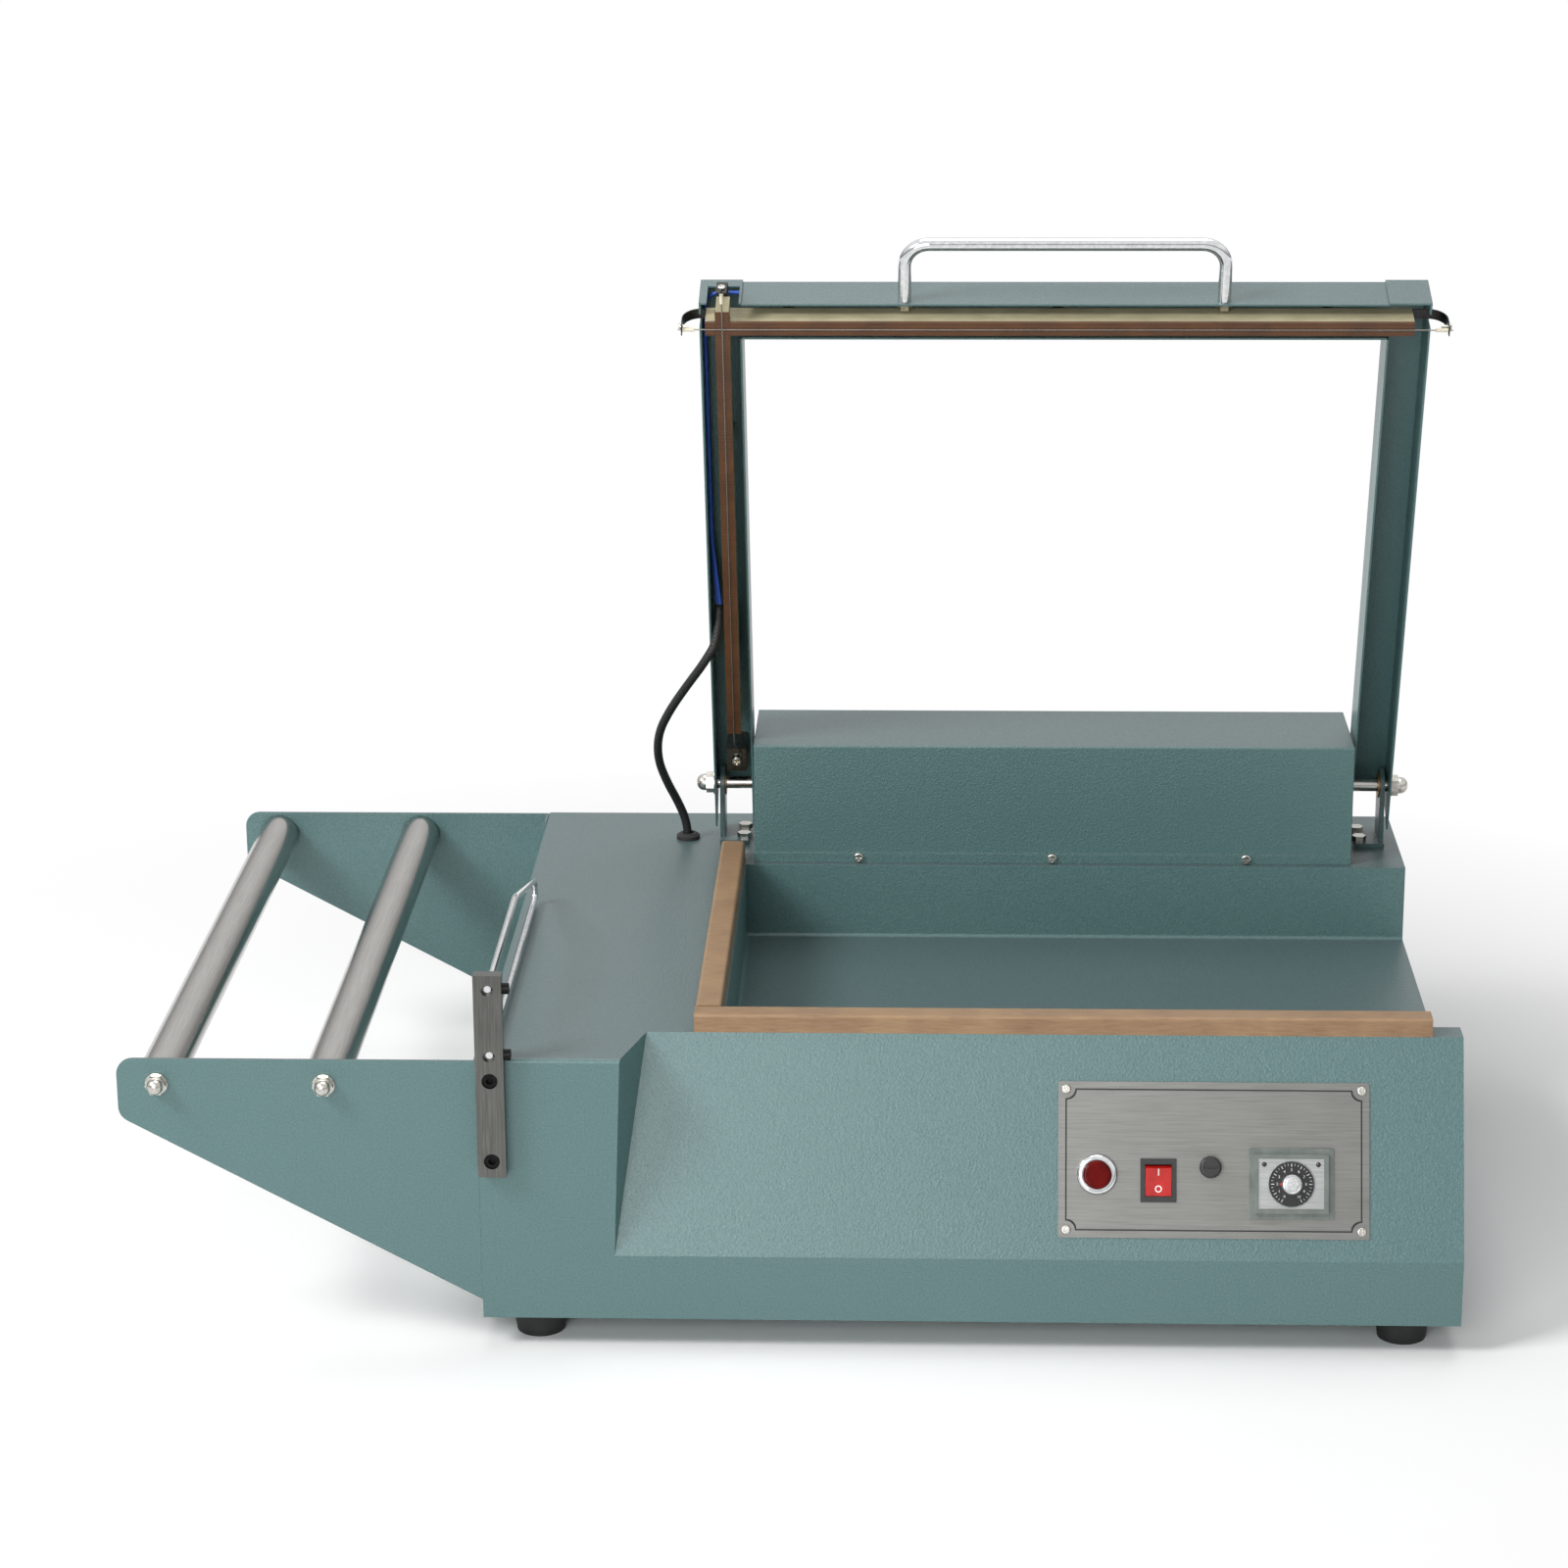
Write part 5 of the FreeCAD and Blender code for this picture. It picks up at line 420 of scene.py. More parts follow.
@dataclass(frozen=True)
class Laminate:
    """Sawn woven glass and epoxy board: fine fibres lie along the cut and the resin varies from pale to green."""

    name: str = "FR4 glass epoxy laminate"

    def make(self) -> bpy.types.Material:
        """Lay fibre lines along the board under a faint mottled resin.

        Returns:
            The material.
        """
        skin = Skin(self.name)
        fibre = skin.grains(0.9, 5, (0.04, 1, 1), 0.65)
        mixed = skin.weigh((fibre, 0.6), (skin.grains(20, 4), 0.4))
        return skin.finish(
            Base_Color=skin.tone(mixed, 0.3, 0.7, "989072", "C4BC9C"),
            Roughness=skin.add("MapRange", Value=fibre, To_Min=0.45, To_Max=0.65),
            Normal=skin.add("Bump", Height=fibre, Distance=0.06 * MM, Strength=0.6))


@dataclass(frozen=True)
class Braid:
    """Braided polyester sleeving over loose wires: two sets of strands cross on the slant."""

    name: str = "braided polyester sleeving"

    def make(self) -> bpy.types.Material:
        """Cross two slanting waves along the tube's own map.

        Returns:
            The material.
        """
        skin = Skin(self.name)
        first, second = (
            skin.add("TexWave", {"bands_direction": "DIAGONAL"}, take="Fac", Scale=1.0, Vector=skin.add(
                "Mapping", Vector=skin.add("UVMap", {"uv_map": "along"}), Scale=(hand, 1, 1))) for hand in (1, -1))
        strands = skin.add("Math", {"operation": "MAXIMUM"}, i0=first, i1=second)
        return skin.finish(
            Base_Color=skin.tone(strands, 0.2, 0.9, "050506", "19191B"),
            Roughness=skin.add("MapRange", Value=strands, To_Min=0.7, To_Max=0.45),
            Normal=skin.add("Bump", Height=strands, Distance=0.3 * MM, Strength=0.8))


@dataclass(frozen=True)
class Windings:
    """Layers of enamelled wire under amber tape, or stacked steel laminations, seen as fine parallel lines."""

    name: str
    dark: str
    light: str
    pitch: float
    metal: float = 0.0
    across: Layers = Layers.ALONG_Z

    def make(self) -> bpy.types.Material:
        """Draw the parallel layers and let their edges catch the light.

        Returns:
            The material.
        """
        skin = Skin(self.name)
        layers = skin.add("TexWave", {"bands_direction": self.across.value}, take="Fac", Vector=skin.place(),
                          Scale=WAVE / self.pitch, Distortion=0.4)
        cloud = skin.grains(10)
        return skin.finish(
            Base_Color=skin.tone(skin.weigh((layers, 0.6), (cloud, 0.4)), 0.25, 0.75, self.dark, self.light),
            Metallic=self.metal, Roughness=skin.add("MapRange", Value=cloud, To_Min=0.4, To_Max=0.6),
            Normal=skin.add("Bump", Height=layers, Distance=0.2 * MM, Strength=0.6))


@dataclass(frozen=True)
class StemmedDial:
    """Black moulded dial on a turned aluminium stem, which are one piece of the frame."""

    name: str = "black phenolic dial on a turned aluminium stem"
    meet: float = 9.6  # how far out of the panel the silver begins, in millimetres

    def make(self) -> bpy.types.Material:
        """Tell the stem from the dial by its distance out of the panel.

        Returns:
            The material.
        """
        skin = Skin(self.name)
        outward = Vector((0, -math.cos(LEAN), math.sin(LEAN)))
        height = skin.add("VectorMath", {"operation": "DOT_PRODUCT"}, take="Value",
                          i0=skin.add("TexCoord", take="Object"), i1=outward)
        stem = skin.add("Math", {"operation": "GREATER_THAN"}, i0=height, i1=panel(0, 0, self.meet).dot(outward))
        grain = skin.grains(0.7, 4)
        colour = skin.add("MixRGB", Fac=stem, Color1=skin.tone(grain, 0.3, 0.7, "0C0C0D", "17181A"),
                          Color2=skin.tone(grain, 0.3, 0.7, "A4A6A7", "D5D6D6"))
        return skin.finish(
            Base_Color=colour, Metallic=stem, Roughness=skin.add("MapRange", Value=grain, To_Min=0.24, To_Max=0.38),
            Normal=skin.add("Bump", Height=grain, Distance=0.03 * MM, Strength=0.5))


def finishes() -> dict[str, bpy.types.Material]:
    """Make each finish of the frame once.

    Returns:
        The materials by the name of the record's material slot.
    """
    kinds = {
        # Sprayed and stoved: a satin blue-green film with fine dimples.
        "enamel": HammerEnamel(),
        # Pressed in a mould: dull and nearly black, with no clear reflection.
        "foot_rubber": Moulding("black natural rubber", "141414", "262626", 0.6, 0.8),
        # Barrel-plated: warm, bright and a little blurred.
        "plated_steel": Metal("nickel-plated steel", "A9A59C", "DAD8D2", 0.16, 0.3),
        # Rolled strip with an oil film: dark, with long soft highlights.
        "spring_steel": Metal("oiled spring steel", "2B2B2C", "4A4948", 0.28, 0.45, 1.5, (1, 1, 0.2)),
        # Pressed from powder: a fine-grained dull brown.
        "bronze": Metal("sintered bronze", "8A6236", "B08550", 0.35, 0.5, 0.6),
        # Cloth pressed into rubber: tan, with a weak grid and worn clouds.
        "silicone": WovenTape("glass-cloth faced silicone rubber", "7B5D43", "A98A66"),
        # Injection-moulded: black with a soft sheen.
        "black_plastic": Moulding("black moulded ABS", "101011", "1E1E20", 0.28, 0.42),
        # Brushed across the panel and anodised: grey with fine level lines.
        "etched_aluminium": Metal(
            "brushed anodised aluminium", "6C6C69", "82827F", 0.36, 0.5, 0.7, (0.02, 1, 1), 0.008),
        # Polished and plated: a near mirror.
        "bright_chrome": Metal("bright chrome plate", "C9CBCD", "E8E9EA", 0.04, 0.1, 4.0),
        # Moulded without pigment: pale grey-green with a waxy gloss.
        "timer_plastic": Moulding("pale translucent polycarbonate", "606763", "7A817B", 0.2, 0.3, shine=0.1),
        # Moulded with clear red pigment: deep and glossy.
        "red_plastic": Moulding("red translucent polycarbonate", "A0100C", "C81B15", 0.2, 0.3, shine=0.15),
        # Ground round the tube: silver with a long soft highlight.
        "satin_steel": Metal("satin-ground steel tube", "A3A19D", "B9B7B3", 0.15, 0.2, 0.8, (1, 0.02, 1), 0.002),
        # Milled along the bar: grey with fine upright lines.
        "milled_aluminium": Metal("milled aluminium bar", "555552", "767673", 0.2, 0.32, 0.9, (1, 1, 0.03), 0.01),
        # Blackened in a salt bath: black with a dull metal sheen.
        "black_oxide_steel": Metal("black oxide steel", "141414", "2A2A2B", 0.34, 0.5, 1.2),
        # Braided on a machine: black and matt, with crossing strands.
        "loom_sleeve": Braid(),
        # Stamped sheets in a stack, dipped in varnish: brown-grey lines.
        "core_steel": Windings("varnished steel laminations", "3E3B38", "7D7872", 0.7, 0.8, Layers.ALONG_Y),
        # Wound and taped: amber, with the wire's layers showing through.
        "coil_wrap": Windings("amber polyester tape over copper wire", "8C5A1E", "C98A3A", 1.1),
        # Pressed hot in a mould: cream and slightly dull.
        "cream_plastic": Moulding("cream phenolic moulding", "CFC7AE", "E4DDC8", 0.35, 0.5),
        # Sawn from sheet: yellow-grey edges with fine fibres.
        "glass_epoxy": Laminate(),
        # Coated cloth, scorched in use: dark brown with a faint weave.
        "ptfe_tape": WovenTape("PTFE-coated glass cloth tape", "331A07", "623C1C", 0.9, 0.1),
        # Drawn wire that has been hot: dull grey.
        "resistance_wire": Metal("nickel-chromium wire", "6E6A64", "A19C94", 0.25, 0.4, 0.8),
        # Extruded over the strands: even blue with a rubbery sheen.
        "blue_cable": Moulding("blue silicone-sheathed cable", "1B3F93", "2B5BC0", 0.35, 0.5),
    }
    return {slot: kind.make() for slot, kind in kinds.items()}


@dataclass
class SubAssembly:
    """A group of pieces that are dressed and made together."""

    frame: dict
    looks: dict[str, bpy.types.Material]

    def report(self, piece: bpy.types.Object) -> None:
        """Log one finished piece."""
        LOG.info("%s: %s", type(self).__name__, piece.name)

    def shape(self, name: str, verts: Iterable[Vector], faces: Faces, look: bpy.types.Material,
              smooth: bool = False) -> bpy.types.Object:
        """Make a mesh in the frame's own metres.

        Args:
            name: The piece's name.
            verts: Its corners.
            faces: Corner numbers of each face.
            look: Its material.
            smooth: Whether its faces are shaded as one curve.

        Returns:
            The new piece, in the scene.
        """
        data = bpy.data.meshes.new(name)
        data.from_pydata([tuple(v) for v in verts], [], faces)
        data.materials.append(look)
        shape = bmesh.new()
        shape.from_mesh(data)
        bmesh.ops.recalc_face_normals(shape, faces=shape.faces)
        shape.to_mesh(data)
        shape.free()
        data.polygons.foreach_set("use_smooth", [smooth] * len(data.polygons))
        piece = bpy.data.objects.new(name, data)
        bpy.context.scene.collection.objects.link(piece)
        return piece

    def carry(self, piece: bpy.types.Object, body: str, slot: str) -> None:
        """Set a piece on its body.

        Args:
            piece: The piece.
            body: The body that it moves with.
            slot: The record's material slot that its finish stands for; not used.
        """
        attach(piece, body)
        self.report(piece)


@dataclass
class CarriedParts(SubAssembly):
    """The frame's own pieces, each in the finish of its slot."""

    def dress(self) -> None:
        """Put the finish of its slot on every piece, then the few that differ from their slot."""
        for piece in self.frame["nodes"].values():
            look = self.looks[self.slot_of(piece)]
            for place in piece.material_slots:
                place.material = look
            self.report(piece)
        # Painted shade: the hinge brackets get a darker copy of the enamel.
        bracket = HammerEnamel(dark="2E4546", light="3C5656").make()
        own = {
            # Moulded and turned: a black disc with a soft sheen, and silver at its middle.
            "timer_dial": StemmedDial().make(),
            # Wide flat sheet: the same film without rounded folds.
            "body_casing": HammerEnamel(Coat.OVER_PANELS).make(),
            # Cast clear: deep red that hardly mirrors the room.
            "start_button": Moulding("dark red acrylic lens", "420402", "6E0A07", 0.1, 0.18, gloss=0.12).make(),
            # The same enamel in darker colours on the small brackets: painted shade.
            "hinge_bracket_left": bracket,
            "hinge_bracket_right": bracket,
        }
        for name, look in own.items():
            self.frame["nodes"][name].material_slots[0].material = look

    def slot_of(self, piece: bpy.types.Object) -> str:
        """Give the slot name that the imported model's material carries."""
        return piece.material_slots[0].material.name.split(".")[0]


@dataclass
class ControlPanel(SubAssembly):
    """Printed lines and marks, lamps, knob and lettering of the control panel, in millimetres on its slope."""

    plate: tuple[float, float, float, float] = (412.0, 633.0, 16.0, 127.0)  # left, right, low and high edges
    border_inset: float = 5.0
    border_sweep: float = 7.0
    border_width: float = 1.1
    plate_print: float = 1.04  # how far each print or piece stands out of the panel's face
    rocker: tuple[float, float] = (483.2, 56.1)  # middle of the rocker's ridge
    rocker_ridge: float = 3.1
    rocker_slopes: tuple[float, float] = (0.3163, 0.049)  # of the raised half and the other
    dial: tuple[float, float] = (577.2, 55.4)
    on_mark: tuple[float, float, float] = (60.6, 65.4, 0.4)  # low and high end and half the width of the bar
    off_mark: tuple[float, float, float] = (51.0, 1.7, 2.5)  # middle, inner and outer radius of the ring
    dial_print: float = 8.86
    ridge_print: float = 9.46  # on the ridge that carries the pointer
    dial_bottom: float = 8.8
    first_turn: float = 240.0  # degrees from the right; the scale runs clockwise
    division: float = 10.0
    scale_rim: float = 14.6
    long_line: tuple[float, float] = (12.4, 0.22)  # inner radius and half the width
    short_line: tuple[float, float] = (13.2, 0.12)
    number_ring: float = 10.2
    number_height: float = 2.7
    pointer_foot: float = 570.0
    pointer_tip: float = 567.9
    pointer_out: tuple[float, float] = (8.75, 9.8)
    knob_radius: float = 6.94
    flute_depth: float = 0.16
    flutes: int = 36
    window: tuple[float, float] = (23.4, 18.0)  # half the width and height of the timer's window
    window_floor: float = 6.0
    label_hole: float = 16.1
    clear_radius: float = 16.35
    clear_half: tuple[float, float] = (0.45, 0.9)  # half the ring's width and height
    lamp_inset: float = 4.2
    lamp_seat: float = 6.75
    lamp_radius: float = 1.65
    lamp_height: float = 1.1

    def build(self) -> None:
        """Make the plate's border, the switch marks, the dial's scale and knob, the timer's face and the lamps."""
        self.border()
        self.switch_marks()
        self.dial_scale()
        self.pointer()
        self.knob()
        self.timer_face()
        self.clear_ring()
        self.lamps()

    def on_dial(self, radius: float, turn: float, out: float, side: float = 0.0) -> Vector:
        """Give a frame point by its place round the dial's axis.

        Args:
            radius: Distance from the axis.
            turn: Angle from the right, in radians.
            out: Distance out of the panel's face.
            side: Distance to the side of that angle's line.

        Returns:
            The point in metres.
        """
        x = self.dial[0] + radius * math.cos(turn) - side * math.sin(turn)
        up = self.dial[1] + radius * math.sin(turn) + side * math.cos(turn)
        return panel(x, up, out)

    def dial_face(self, turn: float) -> float:
        """Give how far a print at that angle stands out, on the dial or on the pointer's ridge."""
        return self.ridge_print if abs(turn - math.pi) < 0.02 else self.dial_print

    def rocker_face(self, up: float) -> float:
        """Give how far the tipped rocker's face stands out at a height."""
        above = up - self.rocker[1]
        return self.rocker_ridge + above * self.rocker_slopes[0 if above > 0 else 1]

    def border(self) -> None:
        """Print a black line inside the plate's edge that turns inwards round each corner screw."""
        # Screen-printed: flat black that the plate's lines end at.
        ink = Moulding("black screen-printed ink", "0B0B0C", "151516", 0.5, 0.62).make()
        left, right, low, high = self.plate
        verts = []
        for gap in (self.border_inset, self.border_inset + self.border_width):
            corners = [(left + gap, low + gap, 90, 0), (right - gap, low + gap, 180, 90),
                       (right - gap, high - gap, 270, 180), (left + gap, high - gap, 360, 270)]
            for x, up, start, end in corners:
                for step in range(9):
                    turn = math.radians(start + (end - start) * step / 8)
                    across, over = self.border_sweep * math.cos(turn), self.border_sweep * math.sin(turn)
                    verts.append(panel(x + across, up + over, self.plate_print))
        line = self.shape("plate_border_line", verts, bands(2, len(verts) // 2), ink)
        self.carry(line, "machine", "black_plastic")

    def switch_marks(self) -> None:
        """Print the on and off signs on the rocker's two halves."""
        # Pad-printed: opaque white with a slight sheen.
        white = Moulding("white pad-printed ink", "E6E6E2", "F8F8F5", 0.4, 0.52).make()
        middle = self.rocker[0]
        low, high, half = self.on_mark
        bar = [(middle + x, up) for x, up in ((-half, low), (half, low), (half, high), (-half, high))]
        verts = [panel(x, up, self.rocker_face(up) + lift) for lift in (-0.1, 0.12) for x, up in bar]
        self.carry(self.shape("rocker_on_mark", verts, capped(2, 4), white), "power_rocker", "cream_plastic")
        centre, *radii = self.off_mark
        ring = [(middle + r * math.cos(t), centre + r * math.sin(t)) for r in radii for t in turns(28)]
        verts = [panel(x, up, self.rocker_face(up) + 0.08) for x, up in ring]
        self.carry(self.shape("rocker_off_mark", verts, bands(2, 28), white), "power_rocker", "cream_plastic")

    def dial_scale(self) -> None:
        """Print the dial's thirty divisions and its numbers from 0 to 10."""
        # Printed into the dial: opaque white, slightly dull.
        white = Moulding("white dial print", "DADAD6", "F2F2EE", 0.45, 0.55).make()
        verts, faces = [], []
        for mark in range(31):
            turn = math.radians(self.first_turn - mark * self.division)
            inner, half = self.long_line if mark % 3 == 0 else self.short_line
            faces.append(tuple(range(len(verts), len(verts) + 4)))
            outer = self.scale_rim
            for radius, side in ((inner, -half), (outer, -half), (outer, half), (inner, half)):
                verts.append(self.on_dial(radius, turn, self.dial_face(turn), side))
        self.carry(self.shape("dial_scale_lines", verts, faces, white), "timer_dial", "cream_plastic")
        for number in range(11):
            self.number(number, math.radians(self.first_turn - 3 * number * self.division), white)

    def number(self, value: int, turn: float, look: bpy.types.Material) -> None:
        """Print one upright number on the dial.

        Args:
            value: The number.
            turn: Its angle round the dial's axis, in radians.
            look: Its ink.
        """
        name = f"dial_number_{value}"
        curve = bpy.data.curves.new(name, "FONT")
        curve.body = str(value)
        curve.size = self.number_height * MM
        curve.align_x = "CENTER"
        curve.align_y = "CENTER"
        curve.resolution_u = 3
        letter = bpy.data.objects.new("dial_number_text", curve)
        bpy.context.scene.collection.objects.link(letter)
        bpy.context.view_layer.update()
        flat = bpy.data.meshes.new_from_object(letter.evaluated_get(bpy.context.evaluated_depsgraph_get()))
        bpy.data.objects.remove(letter)
        flat.name = name
        flat.materials.clear()
        flat.materials.append(look)
        piece = bpy.data.objects.new(name, flat)
        bpy.context.scene.collection.objects.link(piece)
        place = self.on_dial(self.number_ring, turn, self.dial_face(turn))
        piece.matrix_world = Matrix.Translation(place) @ Matrix.Rotation(math.pi / 2 - LEAN, 4, "X")
        self.carry(piece, "timer_dial", "cream_plastic")

    def pointer(self) -> None:
        """Stand the red pointer between the knob and the dial's ridge."""
        # Hot-stamped foil over a moulded wedge: plain strong red.
        red = Moulding("red pointer print", "B3170F", "D12A20", 0.4, 0.5).make()
        middle = self.dial[1]
        outline = [(self.pointer_foot, middle - 1.1), (self.pointer_foot, middle + 1.1), (self.pointer_tip, middle)]
        verts = [panel(x, up, out) for out in self.pointer_out for x, up in outline]
        self.carry(self.shape("dial_pointer", verts, capped(2, 3), red), "timer_dial", "red_plastic")

    def knob(self) -> None:
        """Set the fluted knob over the dial's stem."""
        # Turned, then fluted: pale silver with a blurred highlight.
        turned = Metal("turned and fluted aluminium", "A4A6A7", "D5D6D6", 0.22, 0.34, 0.7, depth=0.01).make()
        rings = ((self.dial_bottom, 1.0), (15.2, 1.0), (15.75, 0.93), (15.95, 0.84), (15.6, 0.78))
        count = 4 * self.flutes
        verts = []
        for out, share in rings:
            for turn in turns(count):
                flute = self.flute_depth * math.cos(self.flutes * turn) if share == 1.0 else 0.0
                verts.append(self.on_dial((self.knob_radius + flute) * share, turn, out))
        verts += [self.on_dial(0, 0, self.dial_bottom), self.on_dial(0, 0, 15.85)]
        faces = bands(len(rings), count)
        for middle, ring in ((len(verts) - 2, 0), (len(verts) - 1, len(rings) - 1)):
            faces += [(middle, ring * count + step, ring * count + (step + 1) % count) for step in range(count)]
        self.carry(self.shape("timer_knob", verts, faces, turned), "timer_dial", "etched_aluminium")

    def timer_face(self) -> None:
        """Lay the timer's silver face plate in its window."""
        # Foil brushed one way: pale silver with fine level lines.
        silver = Metal("brushed aluminium foil label", "8A8C8C", "A9ABAA", 0.34, 0.48, 0.8, (0.03, 1, 1), 0.006).make()
        rim = [(self.label_hole * math.cos(t), self.label_hole * math.sin(t)) for t in turns(48)]
        wide, tall = (half - 0.2 for half in self.window)
        reach = [min(wide / max(abs(x), 0.001), tall / max(abs(up), 0.001)) for x, up in rim]
        edge = [(x * share, up * share) for (x, up), share in zip(rim, reach)]
        verts = [panel(self.dial[0] + x, self.dial[1] + up, self.window_floor + 0.05) for x, up in rim + edge]
        self.carry(self.shape("timer_face_label", verts, bands(2, 48), silver), "machine", "etched_aluminium")

    def clear_ring(self) -> None:
        """Stand a clear ring round the dial."""
        # Moulded clear: seen by its edges and highlights.
        clear = Moulding("clear polystyrene", "D4DAD8", "E8ECEA", 0.08, 0.16, clear=0.6, shine=0.3).make()
        wide, tall = self.clear_half
        middle = self.window_floor + tall
        verts = [self.on_dial(self.clear_radius + wide * math.cos(lift), turn, middle + tall * math.sin(lift))
                 for turn in turns(64) for lift in turns(8)]
        self.carry(self.shape("dial_clear_ring", verts, bands(64, 8, wrap=True), clear), "machine", "timer_plastic")

    def lamps(self) -> None:
        """Set two small dark lenses in the upper corners of the timer's face."""
        # Moulded with dense red pigment: almost black until lit, with a small highlight.
        lens = Moulding("dark red lamp lens", "120A09", "241412", 0.15, 0.25, shine=0.3).make()
        up = self.dial[1] + self.window[1] - self.lamp_inset
        for side, sign in (("left", -1), ("right", 1)):
            x = self.dial[0] + sign * (self.window[0] - self.lamp_inset)
            verts = []
            for ring in range(5):
                rise = ring / 4 * math.pi / 2 * 0.96
                radius, out = self.lamp_radius * math.cos(rise), self.lamp_seat + self.lamp_height * math.sin(rise)
                verts += [panel(x + radius * math.cos(t), up + radius * math.sin(t), out) for t in turns(20)]
            piece = self.shape(f"timer_lamp_{side}", verts, capped(5, 20), lens, smooth=True)
            self.carry(piece, "machine", "red_plastic")


@dataclass
class WiringLoom(SubAssembly):
    """The sleeved loom that runs from the casing's grommet to the swinging arm."""

    route: tuple[tuple[float, float, float], ...] = (
        (115, 497, 180), (121, 501.2, 204), (120.7, 500.9, 234), (113.5, 496.3, 254.5), (104.7, 487.3, 275),
        (98.3, 477.5, 297.8), (100, 467.5, 322.3), (110.6, 457.7, 344.8), (124.5, 448, 367), (140, 433.4, 390.8),
        (151.5, 435.4, 410.4), (151.5, 442.4, 435.8))
    radius: float = 0.0035
    length: float = 0.287
    sides: int = 20
    strand: float = 0.0055  # length of the sleeve in which the strands' pattern repeats once, in metres

    def line(self) -> list[Vector]:
        """Draw a smooth line along the route.

        Returns:
            Close points on the line, in metres.
        """
        curve = bpy.data.curves.new("loom_line", "CURVE")
        curve.dimensions = "3D"
        spline = curve.splines.new("NURBS")
        spline.points.add(len(self.route) - 1)
        for point, place in zip(spline.points, self.route):
            point.co = (*machine(*place), 1)
        spline.order_u = 3
        spline.use_endpoint_u = True
        spline.resolution_u = 12
        guide = bpy.data.objects.new("loom_line", curve)
        bpy.context.scene.collection.objects.link(guide)
        bpy.context.view_layer.update()
        line = bpy.data.meshes.new_from_object(guide.evaluated_get(bpy.context.evaluated_depsgraph_get()))
        points = [v.co.copy() for v in line.vertices]
        bpy.data.objects.remove(guide)
        return points

    def map_strands(self, data: bpy.types.Mesh, along: list[float]) -> None:
        """Map the sleeve's strands round and along the tube.

        Args:
            data: The tube's mesh.
            along: Distance of each ring from the tube's start, in metres.
        """
        layer = data.uv_layers.new(name="along")
        for face in data.polygons:
            rings = [divmod(data.loops[corner].vertex_index, self.sides) for corner in face.loop_indices]
            at_seam = any(step == self.sides - 1 for _, step in rings)
            for corner, (ring, step) in zip(face.loop_indices, rings):
                wrapped = self.sides if step == 0 and at_seam else step
                layer.data[corner].uv = (wrapped / self.sides * 4, along[ring] / self.strand)

    def build(self) -> None:
        """Sweep the sleeve along the line in place of the frame's loom."""
        points = self.line()
        verts, along, side = [], [0.0], Vector((1, 0, 0))
        for index, point in enumerate(points):
            ahead = (points[min(index + 1, len(points) - 1)] - points[max(index - 1, 0)]).normalized()
            side = (side - ahead * side.dot(ahead)).normalized()
            other = ahead.cross(side)
            verts += [point + self.radius * (math.cos(t) * side + math.sin(t) * other) for t in turns(self.sides)]
            if index:
                along.append(along[-1] + (point - points[index - 1]).length)
        faces = capped(len(points), self.sides)
        loom = self.shape("loom", verts, faces, self.looks["loom_sleeve"], smooth=True)
        self.map_strands(loom.data, along)
        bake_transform(loom)
        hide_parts("wiring_loom")
        self.report(loom)


@dataclass(frozen=True)
class Lamp:
    """One square soft light, aimed at the machine's middle."""

    name: str
    place: tuple[float, float, float]
    size: float
    watts: float

    def hang(self) -> None:
        """Put the light in the scene."""
        data = bpy.data.lights.new(self.name, "AREA")
        data.size = self.size
        data.energy = self.watts
        lamp = bpy.data.objects.new(self.name, data)
        lamp.location = self.place
        lamp.rotation_mode = "QUATERNION"
        lamp.rotation_quaternion = (Vector((0, 0, 0.25)) - Vector(self.place)).to_track_quat("-Z", "Y")
        bpy.context.scene.collection.objects.link(lamp)


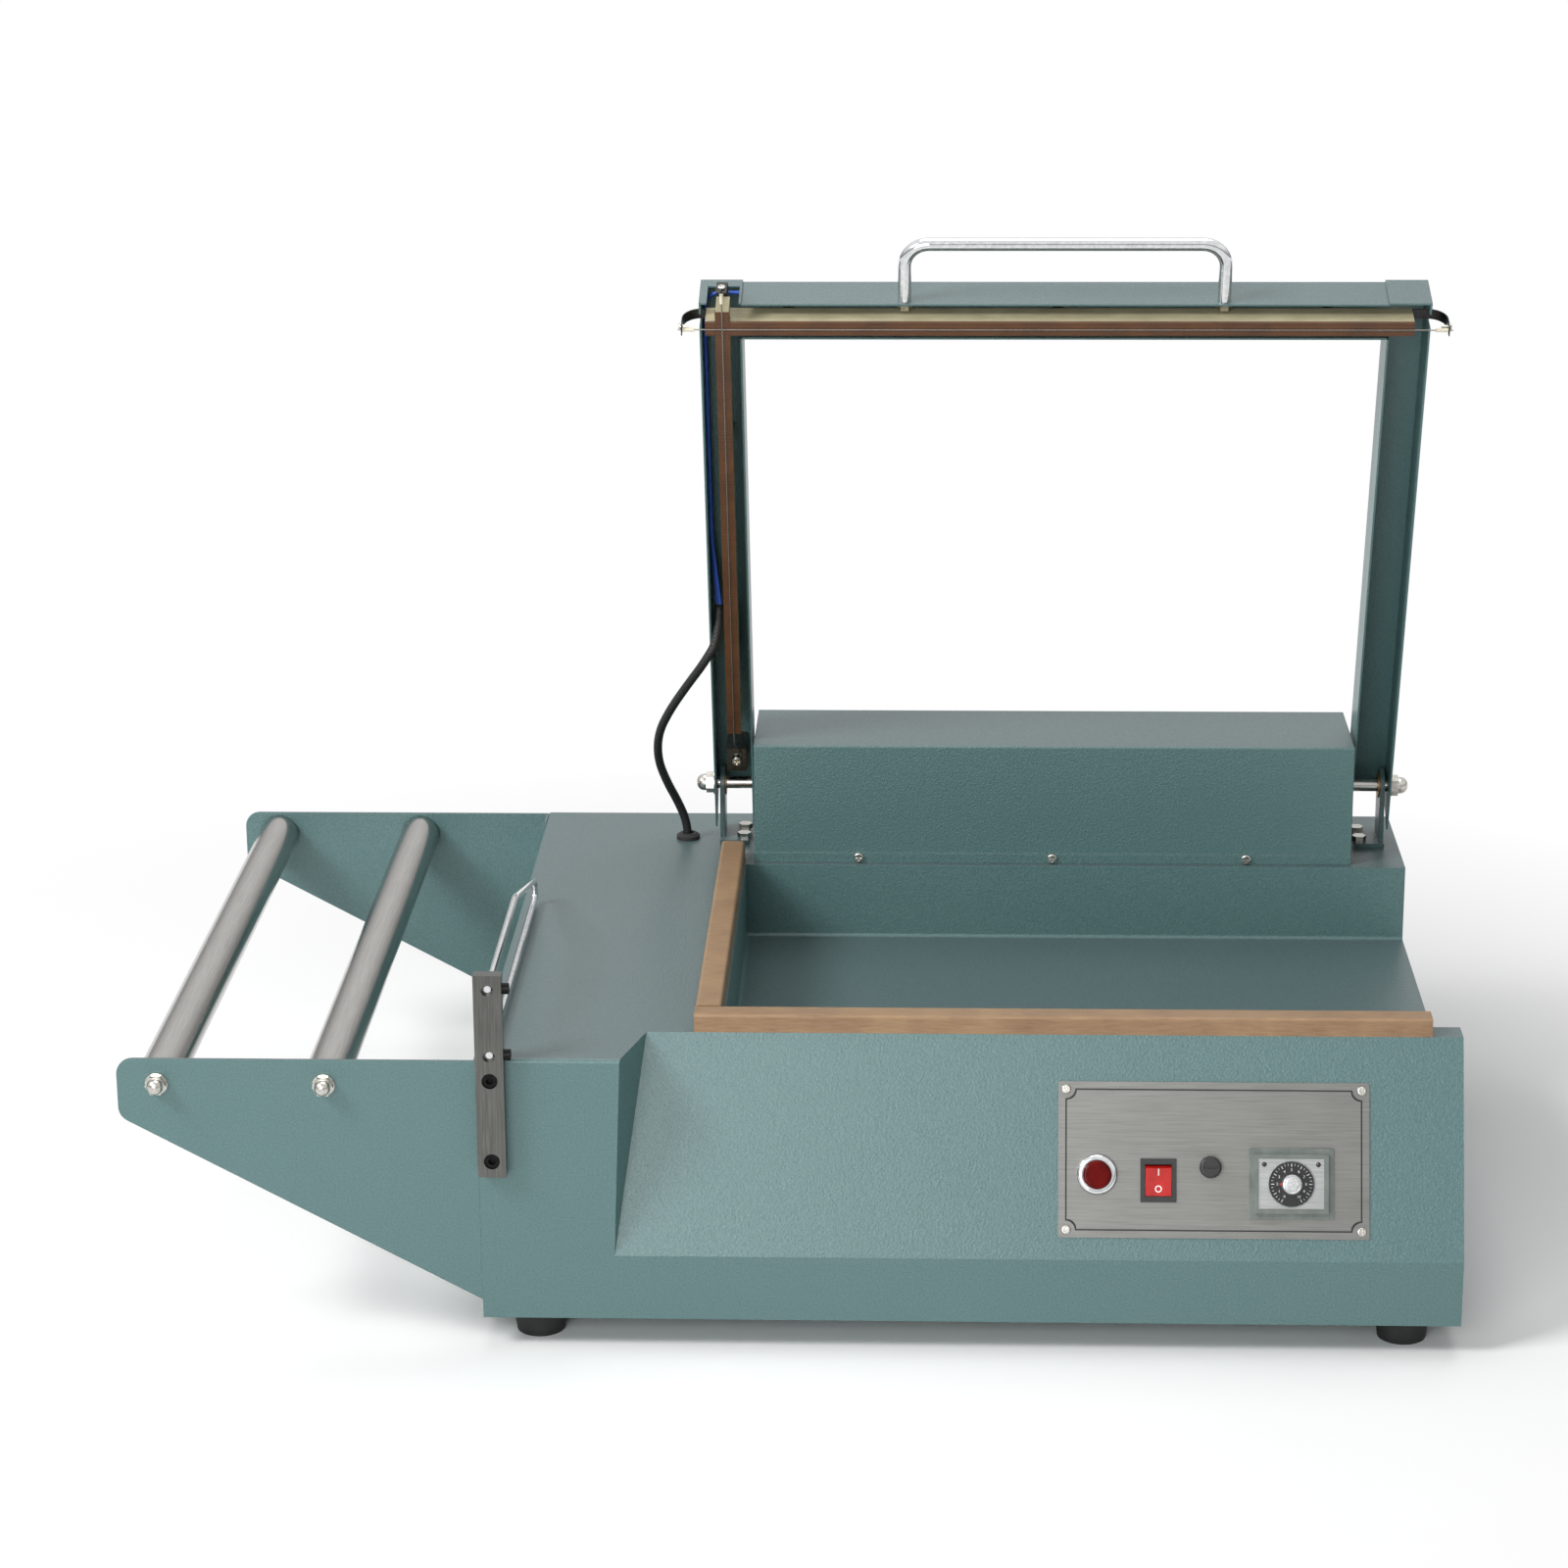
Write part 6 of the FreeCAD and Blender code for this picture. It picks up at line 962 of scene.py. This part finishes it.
@dataclass
class Studio:
    """Floor, light and camera of a plain catalogue picture, in metres and degrees."""

    lens: float = 93.22
    stand: tuple[float, float, float] = (0.09449, -2.94863, 1.26484)
    aim: tuple[float, float, float] = (17.459, -2.179, -0.378)  # down, to the right and rolled
    lamps: tuple[Lamp, ...] = (
        Lamp("key", (-2.6, -1.6, 2.9), 1.2, 105),
        Lamp("fill", (-0.9, -3.6, 1.3), 1.8, 60),
        Lamp("top", (0.2, 0.6, 3.2), 2.2, 36))
    ambient: float = 0.24
    floor_reach: float = 30.0
    fade: tuple[float, float] = (0.62, 1.15)  # where the floor begins and ends to turn into the backdrop

    def camera(self) -> None:
        """Stand a long lens in front of the machine, a little to its right, looking down on it."""
        pitch, yaw, roll = (math.radians(a) for a in self.aim)
        ahead = Vector((math.sin(yaw) * math.cos(pitch), math.cos(yaw) * math.cos(pitch), -math.sin(pitch)))
        level = Vector((math.cos(yaw), -math.sin(yaw), 0))
        upright = level.cross(ahead)
        right = math.cos(roll) * level + math.sin(roll) * upright
        above = -math.sin(roll) * level + math.cos(roll) * upright
        data = bpy.data.cameras.new("camera")
        data.lens = self.lens
        data.sensor_width = 36
        data.clip_end = 50
        camera = bpy.data.objects.new("camera", data)
        turn = Matrix((right, above, -ahead)).transposed().to_4x4()
        camera.matrix_world = Matrix.Translation(self.stand) @ turn
        bpy.context.scene.collection.objects.link(camera)
        bpy.context.scene.camera = camera

    def floor(self) -> None:
        """Lay a plain pale floor that takes soft shadows and is seen as the white backdrop further out."""
        far = self.floor_reach
        data = bpy.data.meshes.new("floor")
        data.from_pydata([(-far, -far, 0), (far, -far, 0), (far, far, 0), (-far, far, 0)], [], [(0, 1, 2, 3)])
        # Rolled paper: plain white with no gloss at all.
        skin = Skin("matt white studio paper")
        paper = skin.finish(
            Base_Color=skin.tone(skin.grains(400, 2), 0.3, 0.7, "FAFAFA", "FDFDFD"), Roughness=0.9,
            Specular_IOR_Level=0.0)
        distance = skin.add("VectorMath", {"operation": "LENGTH"}, take="Value", i0=skin.place())
        far_out = skin.add("MapRange", Value=distance, From_Min=self.fade[0], From_Max=self.fade[1])
        share = skin.add("Math", {"operation": "MULTIPLY"}, i0=far_out, i1=skin.seen())
        glow = skin.add("Emission", Color=WHITE, Strength=1.0)
        mixed = skin.add("MixShader", i0=share, i1=skin.shader.outputs[0], i2=glow)
        skin.put(skin.tree.nodes["Material Output"].inputs["Surface"], mixed)
        data.materials.append(paper)
        floor = bpy.data.objects.new("floor", data)
        bpy.context.scene.collection.objects.link(floor)

    def sky(self) -> None:
        """Show white to the eye, through glass and in reflections from above, and light the rest less."""
        world = bpy.data.worlds.new("studio")
        world.use_nodes = True
        bpy.context.scene.world = world
        graph = Graph(world.node_tree)
        dim = graph.tree.nodes["Background"]
        graph.put(dim.inputs["Color"], WHITE)
        graph.put(dim.inputs["Strength"], self.ambient)
        full = graph.add("Background", Color=WHITE, Strength=1.0)
        height = graph.add("SeparateXYZ", take="Z", i0=graph.add("TexCoord", take="Generated"))
        ceiling = graph.add("MapRange", Value=height, From_Max=0.4)
        mixed = graph.add("MixShader", i0=graph.seen(ceiling), i1=dim.outputs[0], i2=full)
        graph.put(graph.tree.nodes["World Output"].inputs["Surface"], mixed)

    def build(self) -> None:
        """Set the floor, lights and sky."""
        self.floor()
        for lamp in self.lamps:
            lamp.hang()
        self.sky()
        bpy.context.scene.view_settings.view_transform = "Standard"


def main() -> None:
    """Build the looks in order."""
    logging.basicConfig(level=logging.INFO, format="%(message)s")
    for piece in list(bpy.data.objects):
        bpy.data.objects.remove(piece)
    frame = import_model()
    looks = finishes()
    studio = Studio()
    studio.camera()
    WiringLoom(frame, looks).build()
    CarriedParts(frame, looks).dress()
    ControlPanel(frame, looks).build()
    studio.build()


if __name__ == "__main__":
    main()
